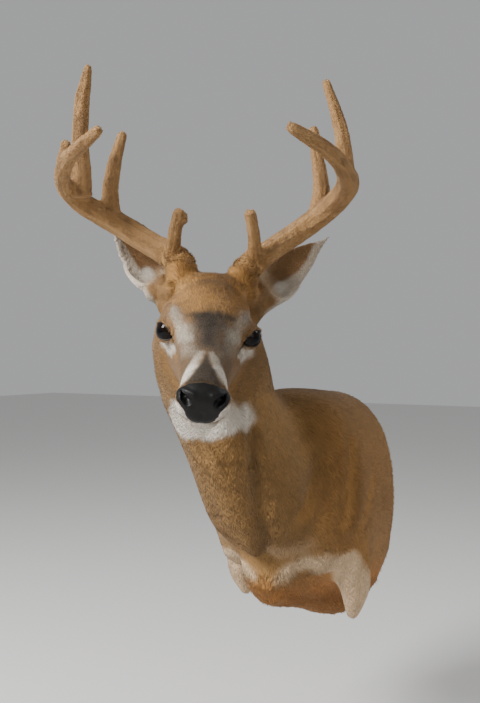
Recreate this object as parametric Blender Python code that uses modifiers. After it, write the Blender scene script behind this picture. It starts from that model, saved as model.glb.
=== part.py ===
"""Shoulder mount of a whitetail buck in velvet, on its wall board.

Metres, +Z up. The wall is the plane y = 0 and the buck stands out from it along -Y, with its own
left side at +X. The origin is the middle of the board's rear face. The outline is the coat's.

The flesh is modelled whole, as volumes melted together, and is then parted with thin cuts into head,
nose, lower jaw, neck, trunk and leg stubs. Ears, eyes, antlers and the wall fittings are added.
"""

import math

import bmesh
import bpy
import numpy as np
from mathutils import Matrix, Vector

OBJECT_NAME = "deer_shoulder_mount"
GAP = 0.0003                    # left between parts that meet
SIDES = {"left": 1, "right": -1}

# Board and hanger
BOARD_THICKNESS = 0.018
BOARD_INSET = 0.008             # the hide reaches this far past the board's edge
HANGER_HEIGHT = 0.095           # of the bar's middle, above the origin
HANGER_BAR = (0.110, 0.0025, 0.016)
POCKET = (0.070, 0.010, 0.040)  # routed behind and below the bar, for the wall hook
SCREW_SPACING = 0.092
SCREW_HEAD_RADIUS = 0.0035
SCREW_SHANK_RADIUS = 0.0018
SCREW_LENGTH = 0.012

# Where the head is carried: the middle of the line between the eyes, and how the head is turned
EYE_LINE_MIDDLE = (-0.0025, -0.4016, 0.300)
HEAD_TURN = 32.2                # degrees to the buck's left
HEAD_DIP = 29.0                 # nose below the eye line
HEAD_ROLL = 4.6                 # left side lower

EYE_RADIUS = 0.0175
EYE_PLACE = (0.004, 0.0515, 0.0)  # forward, outward, up, in the head's frame
LID_OPENING = (0.012, 0.0210, 0.0125)  # half sizes: into the head, along it, upright

MOUTH_HEIGHT = -0.038
PEDICLE_HAIR = 0.003            # depth of the hair round the antlers' roots

# Ears, in the head's frame
EAR_ROOT = (-0.108, 0.055, -0.007)
EAR_TIPS = {"left": (-0.207, 0.184, 0.085), "right": (-0.213, 0.171, 0.095)}
EAR_OPENING = (0.80, 0.14, 0.50)    # the way that the cup faces

# Ears: wall of the shell, where it leaves its fleshy root, and that root
EAR_THICKNESS = 0.0045
BEAM_CLEARANCE = 0.002
EAR_CUT = 0.030
EAR_ROOT_CENTRE = (0.004, 0.0, -0.004)
EAR_ROOT_RADII = (0.046, 0.030, 0.026)

# Colours
RUST = (0.36, 0.17, 0.07)
TAN = (0.33, 0.18, 0.08)
GREY_BROWN = (0.26, 0.16, 0.09)
WHITE_HAIR = (0.72, 0.66, 0.58)
NOSE_BLACK = (0.012, 0.012, 0.012)
EYE_BROWN = (0.012, 0.007, 0.004)
VELVET = (0.30, 0.18, 0.09)
PLYWOOD = (0.52, 0.36, 0.20)
STEEL = (0.55, 0.56, 0.58)

# Triangles each part keeps of the flesh
DETAIL = {
    "head": 2250,
    "nose": 380,
    "lower_jaw": 500,
    "neck": 1300,
    "trunk": 1700,
    "leg": 260,
    "antler": 900,
}

# Ribcage and shoulders, from the board forward:
# distance from the wall, top, bottom, half width, height of the widest line
BARREL = [
    (0.000, 0.203, -0.192, 0.131, 0.020),
    (0.050, 0.207, -0.173, 0.136, 0.020),
    (0.100, 0.211, -0.144, 0.140, 0.020),
    (0.150, 0.213, -0.118, 0.142, 0.020),
    (0.190, 0.203, -0.090, 0.137, 0.018),
    (0.222, 0.165, -0.072, 0.112, 0.010),
    (0.246, 0.095, -0.058, 0.070, 0.000),
]

# Brisket and belly, hanging between the legs
KEEL = [
    (0.000, 0.020, -0.203, 0.088, -0.080),
    (0.050, 0.020, -0.189, 0.076, -0.080),
    (0.100, 0.020, -0.169, 0.064, -0.070),
    (0.150, 0.020, -0.152, 0.056, -0.060),
    (0.200, 0.015, -0.138, 0.054, -0.055),
    (0.236, 0.005, -0.122, 0.046, -0.055),
    (0.252, -0.015, -0.098, 0.030, -0.055),
]

# Leg stubs: how far out the stub stands, height of its tip
LEG_STUBS = {"left": (0.111, -0.161), "right": (0.095, -0.150)}

# Throat column, from the jaw down to the V on the chest: place and radius
THROAT = [
    (-0.040, -0.330, 0.250, 0.050),
    (-0.010, -0.328, 0.150, 0.056),
    (0.000, -0.296, 0.070, 0.054),
    (0.002, -0.256, 0.000, 0.048),
    (0.000, -0.206, -0.050, 0.030),
]

# Neck, from the chest up: height, sideways, distance from the wall, turn, half width, half depth
NECK = [
    (-0.050, 0.000, 0.150, 0.0, 0.094, 0.102),
    (0.000, -0.006, 0.185, 3.0, 0.108, 0.126),
    (0.070, -0.018, 0.214, 8.0, 0.106, 0.136),
    (0.136, -0.036, 0.255, 14.0, 0.094, 0.125),
    (0.200, -0.055, 0.287, 20.0, 0.090, 0.117),
    (0.250, -0.056, 0.308, 26.0, 0.090, 0.102),
    (0.300, -0.048, 0.335, 30.0, 0.080, 0.084),
    (0.345, -0.043, 0.352, 32.0, 0.056, 0.058),
]

# Furrows between the muscles under the short coat: width, depth, and the points each runs through.
# Those of the shoulder are on both sides, given for the left.
THROAT_FURROWS = {
    "left": (0.010, 0.0045, [(0.040, -0.355, 0.150), (0.043, -0.340, 0.100), (0.040, -0.318, 0.037),
                             (0.034, -0.280, -0.024), (0.012, -0.262, -0.051)]),
    "right": (0.010, 0.0040, [(-0.048, -0.340, 0.150), (-0.046, -0.325, 0.100), (-0.042, -0.305, 0.037),
                              (-0.034, -0.272, -0.024), (-0.012, -0.260, -0.051)]),
}
SHOULDER_FURROWS = {
    "neck_root": (0.011, 0.0030, [(0.085, -0.232, 0.091), (0.084, -0.255, 0.064), (0.069, -0.280, 0.013)]),
    "shoulder_blade": (0.012, 0.0035, [(0.105, -0.204, 0.135), (0.119, -0.213, 0.045), (0.114, -0.205, -0.030)]),
    "upper_arm": (0.009, 0.0030, [(0.136, -0.121, 0.089), (0.140, -0.167, 0.040), (0.134, -0.171, -0.023)]),
}

# Skull, cheeks and muzzle above the mouth, in the head's frame, from the back of the head:
# forward, top, bottom, half width, height of the widest line
SKULL = [
    (-0.130, 0.010, -0.060, 0.030, -0.020),
    (-0.110, 0.034, -0.092, 0.050, -0.020),
    (-0.080, 0.050, -0.112, 0.056, -0.018),
    (-0.050, 0.054, -0.120, 0.059, -0.012),
    (-0.025, 0.050, -0.119, 0.061, -0.006),
    (0.000, 0.044, -0.112, 0.060, -0.002),
    (0.020, 0.039, -0.103, 0.052, -0.004),
    (0.045, 0.034, -0.088, 0.044, -0.008),
    (0.070, 0.031, -0.073, 0.039, -0.014),
    (0.100, 0.028, -0.058, 0.034, -0.016),
    (0.130, 0.026, -0.047, 0.031, -0.015),
    (0.155, 0.024, -0.040, 0.032, -0.012),
    (0.172, 0.021, -0.037, 0.034, -0.009),
    (0.184, 0.015, -0.033, 0.031, -0.007),
    (0.191, 0.006, -0.026, 0.022, -0.007),
]

# Lower jaw and chin, in the head's frame
JAW = [
    (0.040, -0.030, -0.088, 0.034, -0.055),
    (0.070, -0.028, -0.073, 0.031, -0.048),
    (0.100, -0.028, -0.061, 0.027, -0.043),
    (0.130, -0.022, -0.057, 0.026, -0.040),
    (0.155, -0.022, -0.055, 0.025, -0.040),
    (0.168, -0.024, -0.052, 0.021, -0.040),
    (0.176, -0.028, -0.047, 0.014, -0.040),
]

# Antlers, in the head's frame. Each row: forward, outward, up, radius
ANTLERS = {
    "left": {
        "beam": [
            (-0.090, 0.037, 0.029, 0.0197),
            (-0.103, 0.048, 0.056, 0.0202),
            (-0.137, 0.088, 0.079, 0.0177),
            (-0.157, 0.132, 0.109, 0.0177),
            (-0.151, 0.165, 0.145, 0.0177),
            (-0.118, 0.180, 0.188, 0.0177),
            (-0.073, 0.165, 0.227, 0.0132),
            (-0.035, 0.131, 0.262, 0.0107),
            (-0.001, 0.083, 0.292, 0.0087),
        ],
        "brow": [(-0.106, 0.059, 0.071, 0.0122), (-0.104, 0.055, 0.104, 0.0100), (-0.100, 0.046, 0.140, 0.0098)],
        "g2": [
            (-0.158, 0.145, 0.116, 0.0142),
            (-0.184, 0.152, 0.158, 0.0134),
            (-0.214, 0.142, 0.203, 0.0102),
            (-0.238, 0.135, 0.234, 0.0084),
        ],
        "g3": [
            (-0.117, 0.179, 0.194, 0.0142),
            (-0.131, 0.171, 0.230, 0.0120),
            (-0.149, 0.161, 0.266, 0.0106),
            (-0.171, 0.137, 0.318, 0.0068),
        ],
    },
    "right": {
        "beam": [
            (-0.086, 0.043, 0.030, 0.0197),
            (-0.106, 0.050, 0.056, 0.0202),
            (-0.138, 0.099, 0.069, 0.0192),
            (-0.159, 0.157, 0.091, 0.0187),
            (-0.152, 0.203, 0.118, 0.0167),
            (-0.119, 0.224, 0.156, 0.0127),
            (-0.065, 0.209, 0.204, 0.0110),
            (-0.026, 0.183, 0.238, 0.0100),
            (0.003, 0.157, 0.267, 0.0082),
        ],
        "brow": [(-0.107, 0.062, 0.066, 0.0127), (-0.104, 0.061, 0.098, 0.0104), (-0.101, 0.056, 0.132, 0.0097)],
        "brow_nub": [(-0.102, 0.057, 0.118, 0.0082), (-0.100, 0.043, 0.127, 0.0070)],
        "g2": [
            (-0.159, 0.159, 0.099, 0.0152),
            (-0.182, 0.165, 0.131, 0.0132),
            (-0.208, 0.162, 0.169, 0.0110),
            (-0.232, 0.156, 0.202, 0.0084),
        ],
        "g3": [
            (-0.133, 0.200, 0.132, 0.0162),
            (-0.148, 0.204, 0.167, 0.0162),
            (-0.168, 0.208, 0.208, 0.0132),
            (-0.186, 0.208, 0.260, 0.0117),
            (-0.199, 0.202, 0.302, 0.0067),
        ],
        "g4": [(-0.100, 0.219, 0.172, 0.0102), (-0.108, 0.222, 0.192, 0.0090), (-0.116, 0.219, 0.213, 0.0080)],
    },
}

# Where the beam is parted past a fork: row of the beam, and share of the way to the next row
BEAM_CUTS = {
    "left": {"tip": (5, 0.55), "mid": (3, 0.60)},
    "right": {"tip": (5, 0.10), "mid": (3, 0.60)},
}
TINE_CUT = 0.022                # along the tine, from the beam's middle


# Scene, collections and finishes

def clear_scene():
    for obj in list(bpy.data.objects):
        bpy.data.objects.remove(obj)


def make_collection(name):
    collection = bpy.data.collections.new(name)
    bpy.context.scene.collection.children.link(collection)
    return collection


def add_object(name, mesh, collection):
    obj = bpy.data.objects.new(name, mesh)
    collection.objects.link(obj)
    return obj


def bmesh_object(name, bm, collection):
    mesh = bpy.data.meshes.new(name)
    bm.to_mesh(mesh)
    bm.free()
    return add_object(name, mesh, collection)


def give_finish(obj, colour, roughness, metallic=0.0):
    material = bpy.data.materials.new(obj.name + "_finish")
    material.use_nodes = True
    shader = material.node_tree.nodes["Principled BSDF"]
    shader.inputs["Base Color"].default_value = (*colour, 1.0)
    shader.inputs["Roughness"].default_value = roughness
    shader.inputs["Metallic"].default_value = metallic
    obj.data.materials.clear()
    obj.data.materials.append(material)


def shade(obj, sharp_angle):
    obj.data.shade_smooth()
    obj.data.set_sharp_from_angle(angle=math.radians(sharp_angle))


def settle(obj):
    """Replaces an object's mesh by what its modifiers make of it."""
    evaluated = obj.evaluated_get(bpy.context.evaluated_depsgraph_get())
    mesh = bpy.data.meshes.new_from_object(evaluated)
    obj.modifiers.clear()
    obj.data = mesh


# Frames

def head_frame():
    """X runs forward to the nose, Y to the buck's left and Z up, from between the eyes."""
    turn = Matrix.Rotation(math.radians(HEAD_TURN - 90.0), 4, "Z")
    dip = Matrix.Rotation(math.radians(HEAD_DIP), 4, "Y")
    roll = Matrix.Rotation(math.radians(-HEAD_ROLL), 4, "X")
    return Matrix.Translation(EYE_LINE_MIDDLE) @ turn @ roll @ dip


def frame_along(origin, direction, upward=(0.0, 0.0, 1.0)):
    """A frame with X along the direction and Z as near to upward as it can be."""
    x = Vector(direction).normalized()
    y = Vector(upward).cross(x).normalized()
    z = x.cross(y)
    frame = Matrix((x, y, z)).transposed().to_4x4()
    frame.translation = Vector(origin)
    return frame


HEAD = head_frame()


# Volumes

def smooth_rows(rows, steps):
    """More rows between the given ones, along a Catmull-Rom curve through them."""
    rows = [np.array(row, dtype=float) for row in rows]
    padded = [2 * rows[0] - rows[1], *rows, 2 * rows[-1] - rows[-2]]
    result = []
    for before, start, end, after in zip(padded, padded[1:], padded[2:], padded[3:]):
        for step in range(steps):
            t = step / steps
            result.append(0.5 * (2 * start + (end - before) * t
                                 + (2 * before - 5 * start + 4 * end - after) * t ** 2
                                 + (3 * start - before - 3 * end + after) * t ** 3))
    result.append(rows[-1])
    return result


def egg(half_width, top, bottom, widest, upper_power, lower_power, count=32):
    """Points (across, up) of an upright oval whose upper and lower halves differ."""
    points = []
    for index in range(count):
        angle = 2 * math.pi * index / count
        across, rise = math.cos(angle), math.sin(angle)
        power = 2 / (upper_power if rise > 0 else lower_power)
        reach = (top - widest) if rise > 0 else (widest - bottom)
        points.append((half_width * math.copysign(abs(across) ** power, across),
                       widest + reach * math.copysign(abs(rise) ** power, rise)))
    return points


def loft(name, rings, collection):
    """A closed skin over rings of points, each ring with the same number of them."""
    bm = bmesh.new()
    loops = [[bm.verts.new(point) for point in ring] for ring in rings]
    for lower, upper in zip(loops, loops[1:]):
        for index in range(len(lower)):
            after = (index + 1) % len(lower)
            bm.faces.new((lower[index], lower[after], upper[after], upper[index]))
    bm.faces.new(loops[0])
    bm.faces.new(loops[-1])
    bmesh.ops.recalc_face_normals(bm, faces=bm.faces)
    return bmesh_object(name, bm, collection)


def body_loft(name, rows, collection, upper_power, lower_power):
    """A loft whose sections stand upright, one behind the other out from the wall."""
    rings = []
    for distance, top, bottom, half_width, widest in smooth_rows(rows, 4):
        outline = egg(half_width, top, bottom, widest, upper_power, lower_power)
        rings.append([(across, -distance, height) for across, height in outline])
    return loft(name, rings, collection)


def head_loft(name, rows, collection, upper_power, lower_power):
    """A loft whose sections stand across the head."""
    rings = []
    for forward, top, bottom, half_width, widest in smooth_rows(rows, 3):
        outline = egg(half_width, top, bottom, widest, upper_power, lower_power)
        rings.append([HEAD @ Vector((forward, across, height)) for across, height in outline])
    return loft(name, rings, collection)


def neck_loft(name, rows, collection):
    """A loft of level sections, turning from the chest towards where the head faces."""
    rings = []
    for height, sideways, distance, turn, half_width, half_depth in smooth_rows(rows, 4):
        place = Matrix.Translation((sideways, -distance, height)) @ Matrix.Rotation(math.radians(turn), 4, "Z")
        outline = egg(half_width, half_depth, -half_depth, 0.010, 1.8, 2.0)
        rings.append([place @ Vector((across, along, 0.0)) for across, along in outline])
    return loft(name, rings, collection)


def ellipsoid(name, frame, centre, radii, collection):
    bm = bmesh.new()
    bmesh.ops.create_uvsphere(bm, u_segments=32, v_segments=18, radius=1.0)
    bm.transform(frame @ Matrix.Translation(centre) @ Matrix.Diagonal((*radii, 1.0)))
    return bmesh_object(name, bm, collection)


def tube(name, frame, rows, collection, steps=4, bevel_resolution=4):
    """A round bar through rows of place and radius, with a domed far end."""
    rows = smooth_rows(rows, steps)
    ahead = (rows[-1] - rows[-2])[:3]
    ahead /= np.linalg.norm(ahead)
    end = rows[-1]
    for share in (0.45, 0.75, 0.95):
        radius = end[3] * math.sqrt(1 - share ** 2)
        rows.append(np.array([*(end[:3] + ahead * end[3] * share), radius]))
    curve = bpy.data.curves.new(name, "CURVE")
    curve.dimensions = "3D"
    curve.bevel_depth = 1.0
    curve.bevel_resolution = bevel_resolution
    curve.use_fill_caps = True
    spline = curve.splines.new("POLY")
    spline.points.add(len(rows) - 1)
    for point, row in zip(spline.points, rows):
        point.co = (*row[:3], 1.0)
        point.radius = row[3]
    guide = add_object(name + "_curve", curve, collection)
    evaluated = guide.evaluated_get(bpy.context.evaluated_depsgraph_get())
    bm = bmesh.new()
    bm.from_mesh(bpy.data.meshes.new_from_object(evaluated))
    bmesh.ops.remove_doubles(bm, verts=bm.verts, dist=0.00001)
    bm.transform(frame)
    bpy.data.objects.remove(guide)
    return bmesh_object(name, bm, collection)


def block(name, frame, low, high, collection, grow=0.0):
    """A box in a frame, used to part the solids."""
    low = Vector(low) - Vector((grow, grow, grow))
    high = Vector(high) + Vector((grow, grow, grow))
    bm = bmesh.new()
    bmesh.ops.create_cube(bm, size=1.0)
    bm.transform(frame @ Matrix.Translation((low + high) / 2) @ Matrix.Diagonal((*(high - low), 1.0)))
    return as_cutter(bmesh_object(name, bm, collection))


def as_cutter(obj):
    obj.hide_render = True
    obj.display_type = "WIRE"
    return obj


# Joining, thinning and cutting

def melt(name, volumes, voxel, smoothing, collection):
    """One skin round overlapping volumes, its hollows filled softly."""
    bm = bmesh.new()
    for volume in volumes:
        bm.from_mesh(volume.data)
        bpy.data.objects.remove(volume)
    obj = bmesh_object(name, bm, collection)
    remesh = obj.modifiers.new("Melt", "REMESH")
    remesh.mode = "VOXEL"
    remesh.voxel_size = voxel
    remesh.adaptivity = 0.0
    soften = obj.modifiers.new("Soften", "SMOOTH")
    soften.factor = 0.5
    soften.iterations = smoothing
    settle(obj)
    return obj


def thin_out(obj, triangles):
    now = sum(len(face.vertices) - 2 for face in obj.data.polygons)
    if now > triangles:
        decimate = obj.modifiers.new("Thin", "DECIMATE")
        decimate.ratio = triangles / now
        decimate.use_collapse_triangulate = True
        settle(obj)


def boolean(obj, cutter, operation):
    modifier = obj.modifiers.new(operation.title(), "BOOLEAN")
    modifier.operation = operation
    modifier.solver = "EXACT"
    modifier.object = cutter
    settle(obj)


def copy_of(obj, name, collection):
    return add_object(name, obj.data.copy(), collection)


def crop(obj, cutter, margin):
    """Drops what lies well outside a box, so that only the part that is kept is thinned."""
    low, high = corners(cutter)
    bm = bmesh.new()
    bm.from_mesh(obj.data)
    for axis in range(3):
        for limit, sign in ((high[axis] + margin, 1), (low[axis] - margin, -1)):
            point = [0.0, 0.0, 0.0]
            point[axis] = limit
            normal = [0.0, 0.0, 0.0]
            normal[axis] = sign
            geometry = bm.verts[:] + bm.edges[:] + bm.faces[:]
            bmesh.ops.bisect_plane(bm, geom=geometry, plane_co=point, plane_no=normal, clear_outer=True)
            bmesh.ops.holes_fill(bm, edges=[edge for edge in bm.edges if edge.is_boundary], sides=0)
    bm.to_mesh(obj.data)
    bm.free()


def corners(obj):
    points = np.array([vertex.co for vertex in obj.data.vertices])
    return points.min(axis=0), points.max(axis=0)


def drop_crumbs(obj):
    """Keeps the largest body where a cut has left slivers beside it."""
    bm = bmesh.new()
    bm.from_mesh(obj.data)
    bmesh.ops.remove_doubles(bm, verts=bm.verts, dist=0.00001)
    bmesh.ops.dissolve_degenerate(bm, edges=bm.edges, dist=0.00001)
    unseen = set(bm.verts)
    bodies = []
    while unseen:
        body = [unseen.pop()]
        for vertex in body:
            for edge in vertex.link_edges:
                other = edge.other_vert(vertex)
                if other in unseen:
                    unseen.remove(other)
                    body.append(other)
        bodies.append(body)
    bodies.sort(key=len)
    for body in bodies[:-1]:
        bmesh.ops.delete(bm, geom=body, context="VERTS")
    bmesh.ops.triangulate(bm, faces=bm.faces)
    bm.to_mesh(obj.data)
    bm.free()


class Divider:
    """Parts one whole into named pieces along boxes, with a gap between them."""

    def __init__(self, pieces, cutters):
        self.pieces = pieces
        self.cutters = cutters
        self.boxes = {}

    def box(self, name, frame, low, high):
        self.boxes[name] = (
            block("cut_" + name, frame, low, high, self.cutters),
            block("cut_" + name + "_wide", frame, low, high, self.cutters, GAP),
        )

    def carve(self, whole, name, triangles, inside=(), outside=(), near=None):
        piece = copy_of(whole, name, self.pieces)
        if near:
            crop(piece, self.boxes[near][0], 0.012)
        if triangles:
            thin_out(piece, triangles)
        for key in inside:
            boolean(piece, self.boxes[key][0], "INTERSECT")
        for key in outside:
            boolean(piece, self.boxes[key][1], "DIFFERENCE")
        drop_crumbs(piece)
        return piece


# Sculpting

def distance_to_path(points, path):
    """The distance of each point to a line through the path's points."""
    path = np.array(path, dtype=float)
    nearest = np.full(len(points), np.inf)
    for start, end in zip(path, path[1:]):
        along = end - start
        share = np.clip((points - start) @ along / (along @ along), 0.0, 1.0)
        nearest = np.minimum(nearest, np.linalg.norm(points - start - share[:, None] * along, axis=1))
    return nearest


def raise_along(obj, path, width, height, frame=None):
    """Raises a soft ridge along a path on the skin, or sinks a furrow where height is negative."""
    if frame:
        path = [frame @ Vector(point) for point in path]
    mesh = obj.data
    points = np.empty(len(mesh.vertices) * 3, dtype=np.float32)
    normals = np.empty(len(mesh.vertices) * 3, dtype=np.float32)
    mesh.vertices.foreach_get("co", points)
    mesh.vertices.foreach_get("normal", normals)
    points = points.reshape(-1, 3).astype(float)
    normals = normals.reshape(-1, 3).astype(float)
    weight = np.exp(-(distance_to_path(points, path) / width) ** 2)
    points += normals * (weight * height)[:, None]
    mesh.vertices.foreach_set("co", points.astype(np.float32).ravel())
    mesh.update()


def raise_on_both_sides(obj, path, width, height):
    """The same ridge or furrow on both sides of the head."""
    for side in SIDES.values():
        raise_along(obj, [(forward, side * out, up) for forward, out, up in path], width, height, HEAD)


# The flesh

def make_body(collection):
    """Trunk, leg stubs and neck, with the throat as a rounded column down the neck's front."""
    volumes = [
        body_loft("barrel", BARREL, collection, 2.5, 2.1),
        body_loft("keel", KEEL, collection, 2.0, 2.2),
        neck_loft("neck_form", NECK, collection),
        tube("throat", Matrix.Identity(4), THROAT, collection),
    ]
    for side, (out, tip) in LEG_STUBS.items():
        side = SIDES[side]
        stub = [
            (side * (out - 0.020), -0.150, 0.000, 0.046),
            (side * (out - 0.006), -0.146, -0.070, 0.036),
            (side * out, -0.142, -0.108, 0.027),
            (side * (out - 0.004), -0.140, tip + 0.015, 0.0155),
        ]
        shoulder = [
            (side * 0.045, -0.130, 0.132, 0.074),
            (side * 0.072, -0.170, 0.060, 0.062),
            (side * 0.080, -0.176, 0.005, 0.055),
            (side * 0.070, -0.190, -0.042, 0.040),
        ]
        volumes.append(tube("stub", Matrix.Identity(4), stub, collection))
        volumes.append(tube("shoulder", Matrix.Identity(4), shoulder, collection))
    body = melt("body_form", volumes, 0.004, 30, collection)
    for width, depth, path in THROAT_FURROWS.values():
        raise_along(body, path, width, -depth)
    for width, depth, path in SHOULDER_FURROWS.values():
        for out in SIDES.values():
            raise_along(body, [(out * x, y, z) for x, y, z in path], width, -depth)
    return body


def make_flesh(collection):
    """The whole animal in one skin, without ears and eyes."""
    volumes = [
        make_body(collection),
        head_loft("skull", SKULL, collection, 2.3, 2.0),
        head_loft("jaw", JAW, collection, 2.0, 2.2),
    ]
    for side in SIDES:
        out = SIDES[side]
        root = ear_frame(side)[0]
        volumes.append(ellipsoid("ear_root", root, EAR_ROOT_CENTRE, EAR_ROOT_RADII, collection))
        pedicle = [outward(row, side) for row in ANTLERS[side]["beam"][:2]]
        pedicle = [(*row[:3], row[3] + PEDICLE_HAIR) for row in pedicle]
        volumes.append(tube("pedicle", HEAD, pedicle, collection))
        brow = [(-0.035, out * 0.042, 0.022, 0.015), (0.005, out * 0.043, 0.019, 0.014),
                (0.026, out * 0.039, 0.010, 0.009)]
        volumes.append(tube("brow_ridge", HEAD, brow, collection))
        lip = [(0.080, out * 0.022, -0.034, 0.012), (0.130, out * 0.022, -0.029, 0.013),
               (0.164, out * 0.019, -0.026, 0.012)]
        volumes.append(tube("lip", HEAD, lip, collection))
    volumes.append(ellipsoid("poll", HEAD, (-0.072, 0.0, 0.030), (0.036, 0.052, 0.025), collection))
    flesh = melt("flesh", volumes, 0.0025, 8, collection)
    sculpt_face(flesh)
    return flesh


def sculpt_face(flesh):
    tear_duct = [(0.030, 0.052, -0.004), (0.052, 0.044, -0.014)]
    cheekbone = [(0.000, 0.060, -0.026), (-0.030, 0.060, -0.024)]
    lip_line = [(0.100, 0.030, -0.035), (0.155, 0.030, -0.036)]
    nostril_wing = [(0.178, 0.030, -0.004), (0.168, 0.034, 0.000)]
    cheek_hollow = [(0.060, 0.045, -0.050), (0.110, 0.036, -0.040)]
    raise_on_both_sides(flesh, tear_duct, 0.009, -0.0035)
    raise_on_both_sides(flesh, cheekbone, 0.012, 0.0025)
    raise_on_both_sides(flesh, lip_line, 0.006, -0.002)
    raise_on_both_sides(flesh, nostril_wing, 0.008, 0.002)
    raise_on_both_sides(flesh, cheek_hollow, 0.012, -0.002)


def set_flesh_boxes(divider):
    """The boxes along which the flesh is parted."""
    nape = HEAD @ Vector((-0.142, 0.0, 0.020))
    divider.box("head", frame_along(nape, HEAD.to_3x3() @ Vector((0.54, 0.0, 0.84))),
                (0.0, -0.25, -0.36), (0.45, 0.25, 0.30))
    withers = (0.0, -0.130, 0.215)
    divider.box("neck", frame_along(withers, (0.0, -0.872, 0.490)), (0.0, -0.30, -0.45), (0.60, 0.30, 0.30))
    nose_top = HEAD @ Vector((0.172, 0.0, 0.021))
    divider.box("nose", frame_along(nose_top, HEAD.to_3x3() @ Vector((0.990, 0.0, 0.144))),
                (0.0, -0.06, -0.08), (0.06, 0.06, 0.04))
    divider.box("jaw", HEAD, (0.062, -0.06, -0.140), (0.220, 0.06, MOUTH_HEIGHT))
    for side, out in SIDES.items():
        inner = LEG_STUBS[side][0] - 0.038
        low = (min(out * inner, out * 0.20), -0.205, -0.20)
        high = (max(out * inner, out * 0.20), -0.105, -0.086)
        divider.box("leg_" + side, Matrix.Identity(4), low, high)
        divider.box("ear_" + side, ear_frame(side)[0], (EAR_CUT, -0.042, -0.034), (0.30, 0.042, 0.032))
        burr = burr_frame(side)
        divider.box("pedicle_" + side, burr, (0.0, -0.035, -0.035), (0.08, 0.035, 0.035))


def make_flesh_parts(divider, flesh):
    ears = ["ear_left", "ear_right"]
    pedicles = ["pedicle_left", "pedicle_right"]
    legs = ["leg_left", "leg_right"]
    head = divider.carve(flesh, "head", DETAIL["head"], ["head"], ["nose", "jaw", *ears, *pedicles], "head")
    for side in SIDES:
        boolean(head, eye_ball("socket_" + side, side, GAP, divider.cutters), "DIFFERENCE")
        boolean(head, lid_opening("lids_" + side, side, divider.cutters), "DIFFERENCE")
    drop_crumbs(head)
    nose = divider.carve(flesh, "nose", DETAIL["nose"], ["nose"], ["jaw"], "nose")
    jaw = divider.carve(flesh, "lower_jaw", DETAIL["lower_jaw"], ["jaw"], [], "jaw")
    neck = divider.carve(flesh, "neck", DETAIL["neck"], ["neck"], ["head", *ears], "neck")
    trunk = divider.carve(flesh, "trunk", DETAIL["trunk"], [], ["neck", *legs])
    recess = as_cutter(board_slab("board_recess", GAP, 0.02, divider.cutters))
    boolean(trunk, recess, "DIFFERENCE")
    drop_crumbs(trunk)
    give_finish(head, RUST, 0.9)
    give_finish(nose, NOSE_BLACK, 0.4)
    give_finish(jaw, WHITE_HAIR, 0.9)
    give_finish(neck, GREY_BROWN, 0.9)
    give_finish(trunk, TAN, 0.9)
    parts = [head, nose, jaw, neck, trunk]
    for name in legs:
        leg = divider.carve(flesh, name, DETAIL["leg"], [name], [], name)
        give_finish(leg, WHITE_HAIR, 0.9)
        parts.append(leg)
    for part in parts:
        shade(part, 40)


# Ears and eyes

def ear_frame(side):
    """X runs from the ear's root to its tip and Z towards the side that it opens to."""
    out = SIDES[side]
    forward, outward_by, up = EAR_ROOT
    root = HEAD @ Vector((forward, out * outward_by, up))
    forward, outward_by, up = EAR_TIPS[side]
    tip = HEAD @ Vector((forward, out * outward_by, up))
    forward, outward_by, up = EAR_OPENING
    opening = HEAD.to_3x3() @ Vector((forward, out * outward_by, up))
    return frame_along(root, tip - root, opening), (tip - root).length


def make_ear(divider, side):
    """A cupped leaf: rolled into a tube at its root, wide and open in the middle, pointed at its tip."""
    frame, length = ear_frame(side)
    rows, columns = 12, 9
    bm = bmesh.new()
    lines = []
    for row in range(rows):
        share = row / (rows - 1)
        along = length * (0.10 + 0.90 * share)
        width = 0.022 + 0.015 * math.sin(math.pi * min(1.0, share * 1.15) ** 0.9) - 0.0185 * share ** 3
        wrap = math.radians(150 - 72 * min(1.0, share * 2.2) - 12 * share)
        depth = width * (0.95 - 0.35 * share)
        line = []
        for column in range(columns):
            angle = wrap * (2 * column / (columns - 1) - 1)
            place = (along, width * math.sin(angle), depth * (0.25 - math.cos(angle)))
            line.append(bm.verts.new(frame @ Vector(place)))
        lines.append(line)
    for lower, upper in zip(lines, lines[1:]):
        for column in range(columns - 1):
            bm.faces.new((lower[column], lower[column + 1], upper[column + 1], upper[column]))
    ear = bmesh_object("ear_" + side, bm, divider.pieces)
    shell = ear.modifiers.new("Thickness", "SOLIDIFY")
    shell.thickness = EAR_THICKNESS
    shell.offset = 0.0
    settle(ear)
    boolean(ear, divider.boxes["ear_" + side][0], "INTERSECT")
    beam = [outward((*row[:3], row[3] + BEAM_CLEARANCE), side) for row in ANTLERS[side]["beam"][:5]]
    room = as_cutter(tube("beam_room_" + side, HEAD, beam, divider.cutters))
    boolean(ear, room, "DIFFERENCE")
    drop_crumbs(ear)
    give_finish(ear, TAN, 0.9)
    shade(ear, 60)


def eye_ball(name, side, grow, collection):
    out = SIDES[side]
    forward, outward_by, up = EYE_PLACE
    centre = HEAD @ Vector((forward, out * outward_by, up))
    gaze = HEAD.to_3x3() @ Vector((0.50, out * 0.85, 0.10))
    bm = bmesh.new()
    bmesh.ops.create_uvsphere(bm, u_segments=16, v_segments=10, radius=EYE_RADIUS + grow)
    bm.transform(frame_along(centre, gaze) @ Matrix.Rotation(math.radians(90), 4, "Y"))
    return as_cutter(bmesh_object(name, bm, collection))


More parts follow.
